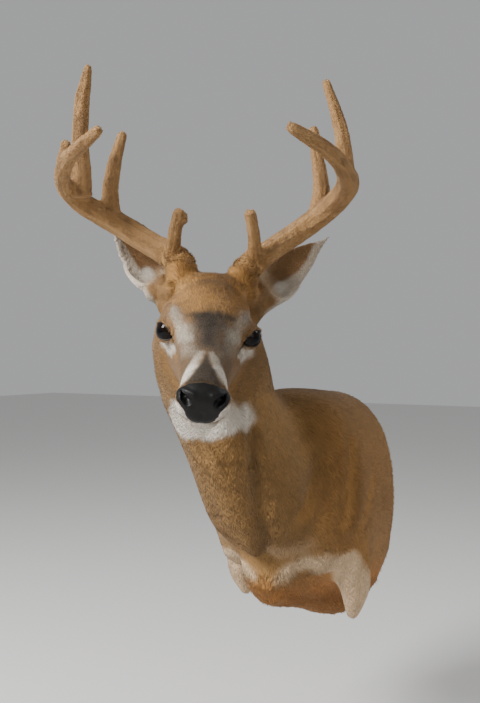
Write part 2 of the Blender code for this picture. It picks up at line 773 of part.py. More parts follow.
def lid_opening(name, side, collection):
    """The almond between the lids, cut a little way in round the eyeball."""
    gaze = HEAD.to_3x3() @ Vector((0.74, SIDES[side] * 0.67, 0.02))
    forward, outward_by, up = EYE_PLACE
    centre = HEAD @ Vector((forward, SIDES[side] * outward_by, up)) + gaze.normalized() * (EYE_RADIUS - 0.002)
    bm = bmesh.new()
    bmesh.ops.create_uvsphere(bm, u_segments=16, v_segments=8, radius=1.0)
    bm.transform(frame_along(centre, gaze) @ Matrix.Diagonal((*LID_OPENING, 1.0)))
    return as_cutter(bmesh_object(name, bm, collection))


def make_eye(side, collection):
    eye = eye_ball("eye_" + side, side, 0.0, collection)
    eye.hide_render = False
    eye.display_type = "TEXTURED"
    give_finish(eye, EYE_BROWN, 0.05)
    shade(eye, 60)


# Antlers

def outward(row, side):
    forward, out, up, radius = row
    return (forward, SIDES[side] * out, up, radius)


def place_on(rows, index, share, side):
    """The point and the direction in the world at a share of the way past one row of a branch."""
    start, end = (Vector(outward(row, side)[:3]) for row in rows[index:index + 2])
    direction = HEAD.to_3x3() @ (end - start)
    return HEAD @ start.lerp(end, share), direction


def burr_frame(side):
    return frame_along(*place_on(ANTLERS[side]["beam"], 0, 0.85, side))


def tine_box(divider, name, rows, side):
    """A box round a tine, from where it leaves the beam."""
    start, direction = place_on(rows, 0, 0.0, side)
    frame = frame_along(start + direction.normalized() * TINE_CUT, direction)
    back = frame.inverted()
    points = [back @ HEAD @ Vector(outward(row, side)[:3]) for row in rows[1:]]
    reach = rows[-1][3] + 0.001
    low = [min(point[axis] for point in points) - reach for axis in (1, 2)]
    high = [max(point[axis] for point in points) + reach for axis in (1, 2)]
    wide = rows[0][3] + 0.004
    low = [min(value, -wide) for value in low]
    high = [max(value, wide) for value in high]
    divider.box(name, frame, (0.0, *low), (0.30, *high))


def make_antler(divider, side):
    """A beam and its tines in one velvet skin, parted at the forks."""
    branches = ANTLERS[side]
    volumes = [tube(name, HEAD, [outward(row, side) for row in rows], divider.cutters)
               for name, rows in branches.items()]
    antler = melt("antler_" + side, volumes, 0.0018, 4, divider.cutters)
    thin_out(antler, DETAIL["antler"])
    whole = "antler_" + side
    divider.box(whole, burr_frame(side), (0.0, -0.45, -0.45), (0.60, 0.45, 0.45))
    removed = []
    for tine in ("brow", "g2", "g3", "g4"):
        if tine in branches:
            name = whole + "_" + tine
            tine_box(divider, name, branches[tine], side)
            divider.carve(antler, name, 0, [whole, name], [])
            removed.append(name)
    for name, (index, share) in BEAM_CUTS[side].items():
        name = whole + "_" + name
        frame = frame_along(*place_on(branches["beam"], index, share, side))
        divider.box(name, frame, (0.0, -0.15, -0.15), (0.35, 0.15, 0.15))
        divider.carve(antler, name, 0, [name], removed)
        removed.append(name)
    divider.carve(antler, whole + "_beam", 0, [whole], removed)
    for obj in divider.pieces.objects:
        if obj.name.startswith(whole):
            give_finish(obj, VELVET, 0.95)
            shade(obj, 50)
    as_cutter(antler)


# Board and hanger

def turned(name, rows, centre, collection):
    """A round solid along Y, through rows of distance from the wall and radius."""
    x, z = centre
    rings = []
    for distance, radius in rows:
        angles = [2 * math.pi * index / 12 for index in range(12)]
        rings.append([(x + radius * math.cos(a), -distance, z + radius * math.sin(a)) for a in angles])
    return loft(name, rings, collection)


def screw_rows(grow):
    head = SCREW_HEAD_RADIUS + grow
    shank = SCREW_SHANK_RADIUS + grow
    under_head = SCREW_HEAD_RADIUS - SCREW_SHANK_RADIUS
    start = -grow
    return [(start, head), (start + 0.0003 + grow, head), (0.0003 + under_head, shank),
            (SCREW_LENGTH + grow, shank)]


def board_slab(name, grow, behind, collection):
    top, bottom, half_width, widest = BARREL[0][1:]
    inset = BOARD_INSET - grow
    outline = egg(half_width - inset, top - inset, bottom + inset, widest, 2.5, 2.1, 40)
    rings = [[(x, y, z) for x, z in outline] for y in (-BOARD_THICKNESS - grow, behind)]
    return loft(name, rings, collection)


def make_board(divider):
    """Plywood cut to the hide's outline, with a let-in hanger bar over a routed pocket."""
    board = board_slab("backboard", 0.0, 0.0, divider.pieces)
    width, thickness, height = HANGER_BAR
    middle = Matrix.Translation((0.0, 0.0, HANGER_HEIGHT))
    divider.box("hanger", middle, (-width / 2, -thickness, -height / 2), (width / 2, 0.0, height / 2))
    pocket_width, pocket_depth, pocket_height = POCKET
    pocket_top = height / 4
    pocket = block("pocket", middle, (-pocket_width / 2, -pocket_depth, pocket_top - pocket_height),
                   (pocket_width / 2, 0.01, pocket_top), divider.cutters)
    boolean(board, divider.boxes["hanger"][1], "DIFFERENCE")
    boolean(board, pocket, "DIFFERENCE")
    bar = copy_of(divider.boxes["hanger"][0], "hanger_bar", divider.pieces)
    for side, out in SIDES.items():
        place = (out * SCREW_SPACING / 2, HANGER_HEIGHT)
        hole = as_cutter(turned("screw_hole_" + side, screw_rows(GAP), place, divider.cutters))
        boolean(board, hole, "DIFFERENCE")
        boolean(bar, hole, "DIFFERENCE")
        screw = turned("hanger_screw_" + side, screw_rows(0.0), place, divider.pieces)
        give_finish(screw, STEEL, 0.35, 1.0)
        shade(screw, 30)
    give_finish(board, PLYWOOD, 0.7)
    give_finish(bar, STEEL, 0.35, 1.0)


def main():
    clear_scene()
    divider = Divider(make_collection(OBJECT_NAME), make_collection("cutters"))
    flesh = make_flesh(divider.cutters)
    set_flesh_boxes(divider)
    make_flesh_parts(divider, flesh)
    as_cutter(flesh)
    for side in SIDES:
        make_ear(divider, side)
        make_eye(side, divider.pieces)
        make_antler(divider, side)
    make_board(divider)


main()
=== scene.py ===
"""Shoulder mount of a whitetail buck in velvet: its looks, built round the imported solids.

Metres, +Z up, with the wall at y = 0 and the buck standing out along -Y. The hide is one skin laid
just inside the flesh solids, with the coat grown on it in tufts. The antlers have a skin and a pile
of their own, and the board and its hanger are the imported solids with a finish.
"""

import itertools
import math

import bmesh
import bpy
import numpy as np
from mathutils import Matrix, Vector
from mathutils.kdtree import KDTree


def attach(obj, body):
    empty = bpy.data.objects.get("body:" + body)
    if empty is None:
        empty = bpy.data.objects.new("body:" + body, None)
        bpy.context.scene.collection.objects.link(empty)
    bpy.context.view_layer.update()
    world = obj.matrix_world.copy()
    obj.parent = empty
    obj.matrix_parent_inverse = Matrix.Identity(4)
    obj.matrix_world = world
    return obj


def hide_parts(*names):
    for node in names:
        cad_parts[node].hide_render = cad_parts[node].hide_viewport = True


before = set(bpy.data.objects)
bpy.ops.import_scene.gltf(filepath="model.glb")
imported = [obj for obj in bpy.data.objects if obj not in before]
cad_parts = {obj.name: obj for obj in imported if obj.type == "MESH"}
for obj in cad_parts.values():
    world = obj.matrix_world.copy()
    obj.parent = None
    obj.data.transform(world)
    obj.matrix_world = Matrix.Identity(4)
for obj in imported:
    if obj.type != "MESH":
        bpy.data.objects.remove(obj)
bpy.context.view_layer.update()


# Camera
# The buck is met from its front left at the height of its cheek, so that the turned head faces the
# viewer and the chest runs away to the right.
CAMERA_PLACE = (0.6106, -1.3756, 0.272)
CAMERA_AZIMUTH = math.radians(30)
LENS, SENSOR = 42, 36

camera = bpy.data.objects.new("camera", bpy.data.cameras.new("camera"))
camera.data.lens = LENS
camera.data.sensor_width = SENSOR
camera.location = CAMERA_PLACE
camera.rotation_euler = (math.pi / 2, 0, CAMERA_AZIMUTH)
bpy.context.scene.collection.objects.link(camera)
bpy.context.scene.camera = camera


# Floor and studio light
# A pale floor below the brisket, a soft key high on the viewer's left, a weak fill on the
# right and a rim light from behind, in a pale room.
FLOOR_HEIGHT = -0.42
FLOOR_HALF = 9.0
FLOOR_GREY = (0.74, 0.73, 0.71)
ROOM_GREY = (0.8, 0.81, 0.82)
ROOM_STRENGTH = 0.5

bm = bmesh.new()
bmesh.ops.create_grid(bm, x_segments=1, y_segments=1, size=FLOOR_HALF)
bmesh.ops.translate(bm, verts=bm.verts, vec=(0.0, 0.0, FLOOR_HEIGHT))
floor = bpy.data.objects.new("floor", bpy.data.meshes.new("floor"))
bm.to_mesh(floor.data)
bm.free()
bpy.context.scene.collection.objects.link(floor)
floor_paint = bpy.data.materials.new("floor_paint")
floor_paint.use_nodes = True
floor_shader = floor_paint.node_tree.nodes["Principled BSDF"]
floor_shader.inputs["Base Color"].default_value = (*FLOOR_GREY, 1.0)
floor_shader.inputs["Roughness"].default_value = 0.85
floor.data.materials.append(floor_paint)

room = bpy.data.worlds.new("room")
bpy.context.scene.world = room
room.use_nodes = True
room.node_tree.nodes["Background"].inputs["Color"].default_value = (*ROOM_GREY, 1.0)
room.node_tree.nodes["Background"].inputs["Strength"].default_value = ROOM_STRENGTH


def hang_light(name, place, target, size, watts):
    lamp = bpy.data.lights.new(name, "AREA")
    lamp.size = size
    lamp.energy = watts
    light = bpy.data.objects.new(name, lamp)
    light.location = place
    light.rotation_euler = (Vector(target) - Vector(place)).to_track_quat("-Z", "Y").to_euler()
    bpy.context.scene.collection.objects.link(light)


hang_light("key", (-0.9, -2.1, 1.55), (0.0, -0.35, 0.2), 0.9, 122)
hang_light("fill", (2.1, -1.3, 0.7), (0.0, -0.25, 0.2), 1.2, 7)
hang_light("rim", (1.2, 1.0, 1.6), (0.0, -0.3, 0.3), 0.8, 12)


# The head's place
# The head is carried turned to the buck's left, nose down, left side lower. Its frame runs forward
# to the nose, to the buck's left and up, from the middle of the line between the eyes.
EYE_LINE_MIDDLE = (-0.0025, -0.4016, 0.3)
HEAD = (Matrix.Translation(EYE_LINE_MIDDLE)
        @ Matrix.Rotation(math.radians(32.2 - 90), 4, "Z")
        @ Matrix.Rotation(math.radians(-4.6), 4, "X")
        @ Matrix.Rotation(math.radians(29.0), 4, "Y"))
HEAD_AXES = np.array(HEAD)[:3, :3]
LEFT, RIGHT = 1.0, -1.0
SIDES = ((LEFT, "left"), (RIGHT, "right"))


def in_head(points):
    """World points in the head's frame."""
    return (points - np.array(EYE_LINE_MIDDLE)) @ HEAD_AXES


def to_world(points):
    """Points of the head's frame in the world."""
    return np.asarray(points, dtype=float) @ HEAD_AXES.T + np.array(EYE_LINE_MIDDLE)


def past_crown(here):
    """How far points of the head's frame lie past the plane where the neck begins."""
    return here @ (0.54, 0.0, 0.84)


# The hide
# One tanned cape over the form: face, neck, chest, leg stubs and ears in a single skin. It lies
# inside the outline by the depth of the coat, and has its lids, nostrils and mouth set into it.
FLESH_NODES = ["head", "nose", "lower_jaw", "neck", "trunk", "leg_left", "leg_right"]
EAR_NODES = ["ear_left", "ear_right"]
FLESH_SWELL = 0.001             # closes the fine cuts between the solids
EAR_SWELL = 0.0003
SKIN_GRAIN = 0.0034             # size of the skin's faces on the body
BODY_COAT_DEPTH = 0.002
FACE_COAT_DEPTH = 0.0012
BARE_DEPTH = 0.0002             # how far the nose pad lies inside the outline
RIM_DEPTH = 0.0004              # and the hide's edge at the board
WALL_GAP = 0.0003
HIDE_KEPT = 0.66                # share of the skin's faces that thinning leaves
HIDE_PAINTED_SHADE = 0.86               # painted shade: the skin between the tufts is this much darker than the coat

EYE_BALL_RADIUS = 0.0178
EYE_FORWARD, EYE_OUT, EYE_UP = 0.005, 0.0545, 0.0
EYE_GAZE = (0.66, 0.75, 0.03)   # forward, outward, up


def eye_middle(side):
    return np.array((EYE_FORWARD, side * EYE_OUT, EYE_UP))


def pedicle(side):
    """Where an antler grows from the skull."""
    return np.array((-0.09, side * 0.04, 0.036))


def eye_axes(side):
    """Gaze, towards the nose, and up, in the head's frame."""
    gaze = Vector((EYE_GAZE[0], side * EYE_GAZE[1], EYE_GAZE[2])).normalized()
    noseward = Vector((0.0, 0.0, 1.0)).cross(gaze).normalized() * -side
    up = noseward.cross(gaze).normalized() * side
    return np.array((gaze, noseward, up if up.z > 0 else -up))


def place_mesh(name, mesh):
    obj = bpy.data.objects.new(name, mesh)
    bpy.context.scene.collection.objects.link(obj)
    return obj


def settled(obj):
    """The object's mesh with its modifiers made real."""
    graph = bpy.context.evaluated_depsgraph_get()
    mesh = bpy.data.meshes.new_from_object(obj.evaluated_get(graph))
    obj.modifiers.clear()
    obj.data = mesh
    return obj


def swollen(node, swell):
    """A copy of a solid with its doubles merged, grown outwards by a hair."""
    bm = bmesh.new()
    bm.from_mesh(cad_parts[node].data)
    bmesh.ops.remove_doubles(bm, verts=bm.verts, dist=0.00001)
    bm.normal_update()
    moves = [vertex.normal * swell for vertex in bm.verts]
    for vertex, move in zip(bm.verts, moves):
        vertex.co += move
    mesh = bpy.data.meshes.new(node + "_copy")
    bm.to_mesh(mesh)
    bm.free()
    return mesh


def melted(name, nodes, swell, grain, whole):
    """One even skin round several solids and what is already in whole."""
    for node in nodes:
        whole.from_mesh(swollen(node, EAR_SWELL if node in EAR_NODES else swell))
    obj = place_mesh(name, bpy.data.meshes.new(name))
    whole.to_mesh(obj.data)
    whole.free()
    remesh = obj.modifiers.new("Melt", "REMESH")
    remesh.mode = "VOXEL"
    remesh.voxel_size = grain
    return settled(obj)


def points_of(mesh):
    points = np.empty(len(mesh.vertices) * 3, dtype=np.float32)
    mesh.vertices.foreach_get("co", points)
    return points.reshape(-1, 3).astype(float)


def normals_of(mesh):
    normals = np.empty(len(mesh.vertices) * 3, dtype=np.float32)
    mesh.vertices.foreach_get("normal", normals)
    return normals.reshape(-1, 3).astype(float)


def put_points(mesh, points):
    mesh.vertices.foreach_set("co", points.astype(np.float32).ravel())
    mesh.update()


def ramp(value, start, end):
    """A soft step from 0 at start to 1 at end."""
    share = np.clip((value - start) / (end - start), 0.0, 1.0)
    return share * share * (3 - 2 * share)


def soften(mesh, weight, rounds):
    """Evens out the mesh, each point as much as its weight says."""
    edges = np.empty(len(mesh.edges) * 2, dtype=np.int32)
    mesh.edges.foreach_get("vertices", edges)
    first, second = edges.reshape(-1, 2).T
    count = len(mesh.vertices)
    links = np.bincount(first, minlength=count) + np.bincount(second, minlength=count)
    points = points_of(mesh)
    for _ in range(rounds):
        around = np.empty_like(points)
        for axis in range(3):
            around[:, axis] = (np.bincount(first, points[second, axis], count)
                               + np.bincount(second, points[first, axis], count)) / links
        points += (around - points) * weight[:, None]
    put_points(mesh, points)


def refine(mesh, chosen):
    """Halves the faces whose middle is chosen."""
    bm = bmesh.new()
    bm.from_mesh(mesh)
    middles = np.array([face.calc_center_median() for face in bm.faces])
    edges = {edge for face, take in zip(bm.faces, chosen(middles)) if take for edge in face.edges}
    bmesh.ops.subdivide_edges(bm, edges=list(edges), cuts=1, use_grid_fill=True)
    bmesh.ops.triangulate(bm, faces=[face for face in bm.faces if len(face.verts) > 4])
    bm.to_mesh(mesh)
    bm.free()


def thin_out(obj, ratio):
    """Fewer faces away from the head, where the coat hides them."""
    here = in_head(points_of(obj.data))
    body = obj.vertex_groups.new(name="body")
    body.add(np.flatnonzero(past_crown(here) < -0.1).tolist(), 1.0, "REPLACE")
    thin = obj.modifiers.new("Thin", "DECIMATE")
    thin.ratio = ratio
    thin.vertex_group = "body"
    thin.vertex_group_factor = 10.0
    settled(obj)
    obj.vertex_groups.clear()


def from_spot(points, spot):
    """How far each point is from a spot."""
    return np.linalg.norm(points - spot, axis=1)


def distance_to(points, path):
    """How far each point is from a line through the path's points."""
    path = np.asarray(path, dtype=float)
    nearest = np.full(len(points), np.inf)
    for start, end in zip(path, path[1:]):
        along = end - start
        share = np.clip((points - start) @ along / (along @ along), 0.0, 1.0)
        nearest = np.minimum(nearest, np.linalg.norm(points - start - share[:, None] * along, axis=1))
    return nearest


def on_side(path, side):
    """A path of the head's left side, carried over to either side."""
    return [(forward, side * out, up) for forward, out, up in path]


def mould(mesh, path, width, height):
    """Raises a soft ridge along a path of the head, or sinks a furrow, on both sides alike."""
    points = points_of(mesh)
    here = in_head(points)
    weight = np.zeros(len(points))
    for side in (LEFT, RIGHT):
        weight = np.maximum(weight, np.exp(-(distance_to(here, on_side(path, side)) / width) ** 2))
    put_points(mesh, points + normals_of(mesh) * (weight * height)[:, None])


# Rounds of flesh under the skin: the eyes in their sockets, and the feet of the ears and antlers
FLESH_ROUNDS = [
    ((EYE_FORWARD, EYE_OUT, EYE_UP), EYE_BALL_RADIUS + 0.0006),
    ((-0.094, 0.04, 0.026), 0.0215), ((-0.104, 0.056, 0.006), 0.0235), ((-0.114, 0.068, 0.012), 0.019),
    ((-0.1, 0.06, -0.012), 0.021), ((-0.091, 0.05, 0.022), 0.019), ((-0.112, 0.086, 0.001), 0.0155),
]

rounds = bmesh.new()
for side in (LEFT, RIGHT):
    for (forward, out, up), radius in FLESH_ROUNDS:
        bmesh.ops.create_uvsphere(rounds, u_segments=32, v_segments=20, radius=radius,
                                  matrix=HEAD @ Matrix.Translation((forward, side * out, up)))
hide = melted("hide", FLESH_NODES + EAR_NODES, FLESH_SWELL, SKIN_GRAIN, rounds)


def on_face(points):
    here = in_head(points)
    return (here[:, 0] > -0.03) & (np.abs(here[:, 1]) < 0.085) & (here[:, 2] > -0.075)


def from_eyes(here):
    """How far each point of the head is from the middle of the nearer eye."""
    return np.minimum(from_spot(here, eye_middle(LEFT)), from_spot(here, eye_middle(RIGHT)))


def on_fine_features(points):
    """Round the eyes, and the nose and lips."""
    here = in_head(points)
    return (from_eyes(here) < EYE_BALL_RADIUS + 0.007) | ((here[:, 0] > 0.158) & (here[:, 2] > -0.045))


def ear_share(points):
    """1 on the ears, which stay crisp and thin, 0 elsewhere."""
    forward, out, up = in_head(points).T
    return ramp(np.abs(out), 0.066, 0.078) * ramp(forward, -0.08, -0.095) * ramp(up, -0.05, -0.035)


# The body is evened out most, the head a little, and the ears and leg stubs hardly at all
points = points_of(hide.data)
stub_share = ramp(points[:, 2], -0.085, -0.115) * ramp(np.abs(points[:, 0]), 0.055, 0.075)
body_share = (1 - ramp(in_head(points)[:, 0], -0.14, -0.1)) * (1 - ear_share(points))
body_share *= 1 - 0.9 * stub_share * ramp(points[:, 1], -0.085, -0.1)
soften(hide.data, 0.12 + 0.43 * body_share, 8)
soften(hide.data, 0.5 * body_share, 40)
points = points_of(hide.data)
trunk_share = ramp(points[:, 1], -0.3, -0.22) * ramp(points[:, 2], -0.07, -0.04)
soften(hide.data, 0.5 * trunk_share, 90)
refine(hide.data, on_face)
refine(hide.data, on_fine_features)
thin_out(hide, HIDE_KEPT)
soften(hide.data, np.where(on_face(points_of(hide.data)), 0.5, 0.0), 5)

# Lids: an almond opening over each ball, with its front corner drawn down towards the nose
LID_FRONT, LID_BACK = math.radians(74), math.radians(62)
LID_TOP, LID_BOTTOM = math.radians(49), math.radians(29)
LID_SLANT = 0.14
LID_THICKNESS = 0.0022
LID_REACH = 0.012               # how far round the ball the skin is drawn to it
LID_ROLL = 0.16                 # the lid's thick edge, as an angle
BALL_INSET = 0.0035             # how far behind the ball's face the skin runs in the opening


def lid_heights(turn):
    """Height of the lower and of the upper lid's edge, as angles, at a turn towards the nose."""
    share = np.where(turn > 0, turn / LID_FRONT, turn / LID_BACK)
    slant = -LID_SLANT * share * np.abs(share)
    open_by = np.clip(1 - np.abs(share) ** 2.2, 0.0, None)
    return slant - LID_BOTTOM * open_by, slant + LID_TOP * open_by, np.abs(share) < 1


def set_lids(mesh, side):
    """Draws the skin to the ball: over it round the opening, and behind its face within."""
    points = points_of(mesh)
    here = in_head(points) - eye_middle(side)
    gaze, noseward, up = (here @ axis for axis in eye_axes(side))
    reach = np.linalg.norm(here, axis=1)
    turn = np.arctan2(noseward, gaze)
    rise = np.arcsin(np.clip(up / np.maximum(reach, 1e-6), -1, 1))
    lower, upper, within = lid_heights(turn)
    inside = np.where(within, np.minimum(rise - lower, upper - rise), -0.2)
    opening = ramp(inside, -0.03, 0.05)
    close = (reach < EYE_BALL_RADIUS + LID_REACH) & (gaze > -0.2 * EYE_BALL_RADIUS)
    roll = np.exp(-(np.clip(-inside, 0, None) / LID_ROLL) ** 2)
    lid = np.maximum(reach, EYE_BALL_RADIUS + LID_THICKNESS * (0.5 + 0.5 * roll))
    target = lid + (EYE_BALL_RADIUS - BALL_INSET - lid) * opening
    edge = ramp(reach, EYE_BALL_RADIUS + LID_REACH, EYE_BALL_RADIUS + LID_REACH / 2) * (1 - opening) + opening
    new_reach = reach + (target - reach) * edge
    scale = np.where(close, new_reach / np.maximum(reach, 1e-6), 1.0)
    put_points(mesh, to_world(here * scale[:, None] + eye_middle(side)))


for side in (LEFT, RIGHT):
    set_lids(hide.data, side)

# Each fold of the face: the points it runs through, its width, and its height or, below 0, its depth
EYE_FOLDS = {
    "brow": ([(0.002, 0.064, 0.019), (0.018, 0.053, 0.014)], 0.0045, 0.0012),
    "crease_under_eye": ([(0.012, 0.058, -0.019), (-0.006, 0.068, -0.017)], 0.0035, -0.0012),
    "tear_groove": ([(0.026, 0.045, -0.006), (0.04, 0.041, -0.013)], 0.003, -0.0022),
}
for fold in EYE_FOLDS.values():
    mould(hide.data, *fold)

# Nostrils, the groove below them, and the line of the mouth
NOSTRIL_ROUND = [(0.0185, 0.002), (0.0225, 0.0045)]    # across and up, seen from ahead
NOSTRIL_SLIT = [(0.0225, 0.005), (0.028, 0.0075)]
MOUTH_LINE = [(0.183, 0.0, -0.0355), (0.178, 0.015, -0.0365), (0.162, 0.027, -0.0375),
              (0.13, 0.032, -0.039), (0.095, 0.037, -0.041), (0.07, 0.042, -0.045)]
NOSTRIL_FOLDS = {
    "wing": ([(0.186, 0.012, 0.011), (0.18, 0.024, 0.0135), (0.171, 0.032, 0.012)], 0.004, 0.0018),
    "sill": ([(0.189, 0.015, -0.006), (0.185, 0.024, -0.004)], 0.004, 0.0012),
}
LIP_FOLDS = {
    "groove": ([(0.19, 0.0, -0.014), (0.186, 0.0, -0.033)], 0.003, -0.001),
    "mouth": (MOUTH_LINE, 0.0016, -0.003),
    "upper_lip": ([(0.165, 0.03, -0.03), (0.13, 0.034, -0.033)], 0.005, 0.0014),
}


def bore(mesh, path, width, depth, way):
    """Sinks a hollow into the front of the nose on both sides, under a path seen from ahead."""
    here = in_head(points_of(mesh))
    seen = np.column_stack((np.abs(here[:, 1]), here[:, 2], np.zeros(len(here))))
    off = distance_to(seen, [(across, up, 0.0) for across, up in path])
    weight = np.exp(-(off / width) ** 4) * ramp(here[:, 0], 0.155, 0.165)
    push = np.array(way) * np.column_stack((np.ones(len(here)), np.sign(here[:, 1]), np.ones(len(here))))
    put_points(mesh, to_world(here + push * (weight * depth)[:, None]))


for fold in NOSTRIL_FOLDS.values():
    mould(hide.data, *fold)
bore(hide.data, NOSTRIL_SLIT, 0.0017, 0.005, (-0.7, -0.7, 0.0))
bore(hide.data, NOSTRIL_ROUND, 0.0036, 0.01, (-1.0, 0.1, 0.1))
for fold in LIP_FOLDS.values():
    mould(hide.data, *fold)

# Furrows between the muscles of the chest and shoulder, which show through the short coat:
# width, depth, and the points each runs through
FURROWS = [
    (0.0105, 0.007, [(0.037, -0.35, 0.165), (0.039, -0.344, 0.116), (0.036, -0.334, 0.071),
                      (0.032, -0.321, 0.032), (0.03, -0.299, -0.005), (0.016, -0.264, -0.046)]),
    (0.012, 0.004, [(-0.05, -0.335, 0.16), (-0.046, -0.33, 0.09), (-0.04, -0.31, 0.03)]),
    (0.013, 0.0035, [(0.086, -0.225, 0.11), (0.083, -0.248, 0.063), (0.079, -0.266, 0.035)]),
    (0.012, 0.004, [(0.119, -0.18, 0.138), (0.126, -0.193, 0.104), (0.127, -0.201, 0.064),
                      (0.122, -0.208, 0.014)]),
    (0.013, 0.0018, [(0.136, -0.134, 0.078), (0.138, -0.152, 0.053), (0.138, -0.167, 0.021),
                      (0.135, -0.186, -0.004)]),
    (0.012, 0.0035, [(-0.112, -0.175, 0.14), (-0.124, -0.192, 0.1), (-0.12, -0.205, 0.02)]),
    (0.013, 0.0018, [(-0.137, -0.13, 0.09), (-0.139, -0.15, 0.05), (-0.134, -0.175, -0.005)]),
]


def groove(points, width, path):
    """1 in the middle of a furrow, 0 well beside it."""
    return np.exp(-(distance_to(points, path) / width) ** 2)


for width, depth, path in FURROWS:
    points = points_of(hide.data)
    put_points(hide.data, points - normals_of(hide.data) * (groove(points, width, path) * depth)[:, None])

# Half width of the bare nose pad by height, seen from ahead
PAD_HEIGHTS = (-0.033, -0.031, -0.027, -0.018, -0.01, -0.004, 0.0, 0.005, 0.013, 0.018, 0.023)
PAD_HALF_WIDTHS = (0.0, 0.009, 0.015, 0.02, 0.0225, 0.029, 0.034, 0.0355, 0.029, 0.019, 0.01)


def bare_nose(points):
    """1 on the bare black pad between and round the nostrils, 0 on hair."""
    here = in_head(points)
    wander = 0.001 * mottle(here, 0.0035, 3)
    half = np.interp(here[:, 2], PAD_HEIGHTS, PAD_HALF_WIDTHS, left=0.0, right=0.0)
    ahead = here[:, 0] - 0.166 - 0.006 * ramp(here[:, 2], 0.004, 0.018)
    inside = np.minimum(half - np.abs(here[:, 1]), ahead) + wander
    return ramp(inside, -0.0008, 0.001)


def mottle(points, size, seed):
    """Soft blotches from -1 to 1, about size across."""
    lattice = np.random.default_rng(seed).uniform(-1, 1, (32, 32, 32))
    spot = points / size
    cell = np.floor(spot).astype(int)
    part = spot - cell
    part = part * part * (3 - 2 * part)
    total = np.zeros(len(points))
    for corner in itertools.product((0, 1), repeat=3):
        corner = np.array(corner)
        share = np.prod(np.where(corner == 1, part, 1 - part), axis=1)
        total += share * lattice[tuple(((cell + corner) % 32).T)]
    return total


def coat_depth(points):
    """How far the skin lies inside the outline."""
    here = in_head(points)
    face = ramp(here[:, 0], -0.12, -0.05) * ramp(here[:, 2], -0.13, -0.09)
    depth = BODY_COAT_DEPTH + (FACE_COAT_DEPTH - BODY_COAT_DEPTH) * face
    depth += (-FLESH_SWELL - depth) * ear_share(points)
    depth += (BARE_DEPTH - depth) * bare_nose(points)
    return depth + (RIM_DEPTH - depth) * ramp(points[:, 1], -0.03, -0.022)


def sink_under_coat(mesh):
    """Takes the skin in under the coat, all but the lids."""
    points = points_of(mesh)
    off_lids = ramp(from_eyes(in_head(points)), EYE_BALL_RADIUS + 0.004, EYE_BALL_RADIUS + 0.01)
    depth = (coat_depth(points) + FLESH_SWELL) * off_lids
    points -= normals_of(mesh) * depth[:, None]
    points[:, 1] = np.minimum(points[:, 1], -WALL_GAP)
    put_points(mesh, points)


sink_under_coat(hide.data)
soften(hide.data, np.where(on_face(points_of(hide.data)), 0.25, 0.0), 2)


def finish_skin(obj):
    """Makes a skin triangles, and lays its own shape out flat, for its coat and its finish."""
    bm = bmesh.new()
    bm.from_mesh(obj.data)
    bmesh.ops.triangulate(bm, faces=bm.faces)
    bm.to_mesh(obj.data)
    bm.free()
    obj.data.shade_smooth()
    obj.data.uv_layers.new(name="OFBake")
    bpy.ops.object.select_all(action="DESELECT")
    bpy.context.view_layer.objects.active = obj
    obj.select_set(True)
    bpy.ops.object.mode_set(mode="EDIT")
    bpy.ops.mesh.select_all(action="SELECT")
    bpy.ops.uv.smart_project(angle_limit=math.radians(66), island_margin=0.001)
    bpy.ops.object.mode_set(mode="OBJECT")


finish_skin(hide)


# Markings, alike on hide and coat: rust forehead over a dark blaze, grey rings round the eyes, a
# white band each side of the nose, white chin, throat and armpits, brown neck and red-brown body
RUST = (0.395, 0.207, 0.062)
CHEEK_BROWN = (0.228, 0.127, 0.052)
MUZZLE_BROWN = (0.132, 0.082, 0.042)
NECK_BROWN = (0.27, 0.15, 0.052)
BODY_RED = (0.335, 0.172, 0.052)
BACK_BROWN = (0.19, 0.104, 0.04)
BELLY_ORANGE = (0.42, 0.185, 0.05)
PALE_TAN = (0.64, 0.47, 0.3)
PALE_BAND = (0.5, 0.43, 0.34)
BLAZE = (0.038, 0.026, 0.014)
BRIDGE_GREY = (0.088, 0.063, 0.04)
EYE_RING = (0.38, 0.33, 0.26)
WHITE = (0.68, 0.618, 0.53)
BLACK_SKIN = (0.005, 0.0045, 0.004)
EAR_BROWN = (0.22, 0.13, 0.062)
EAR_INNER = (0.235, 0.128, 0.054)
EAR_PALE = (0.5, 0.425, 0.335)
FURROW_PAINTED_SHADE = 72               # how much painted shade darkens the coat in a furrow, by its depth in metres
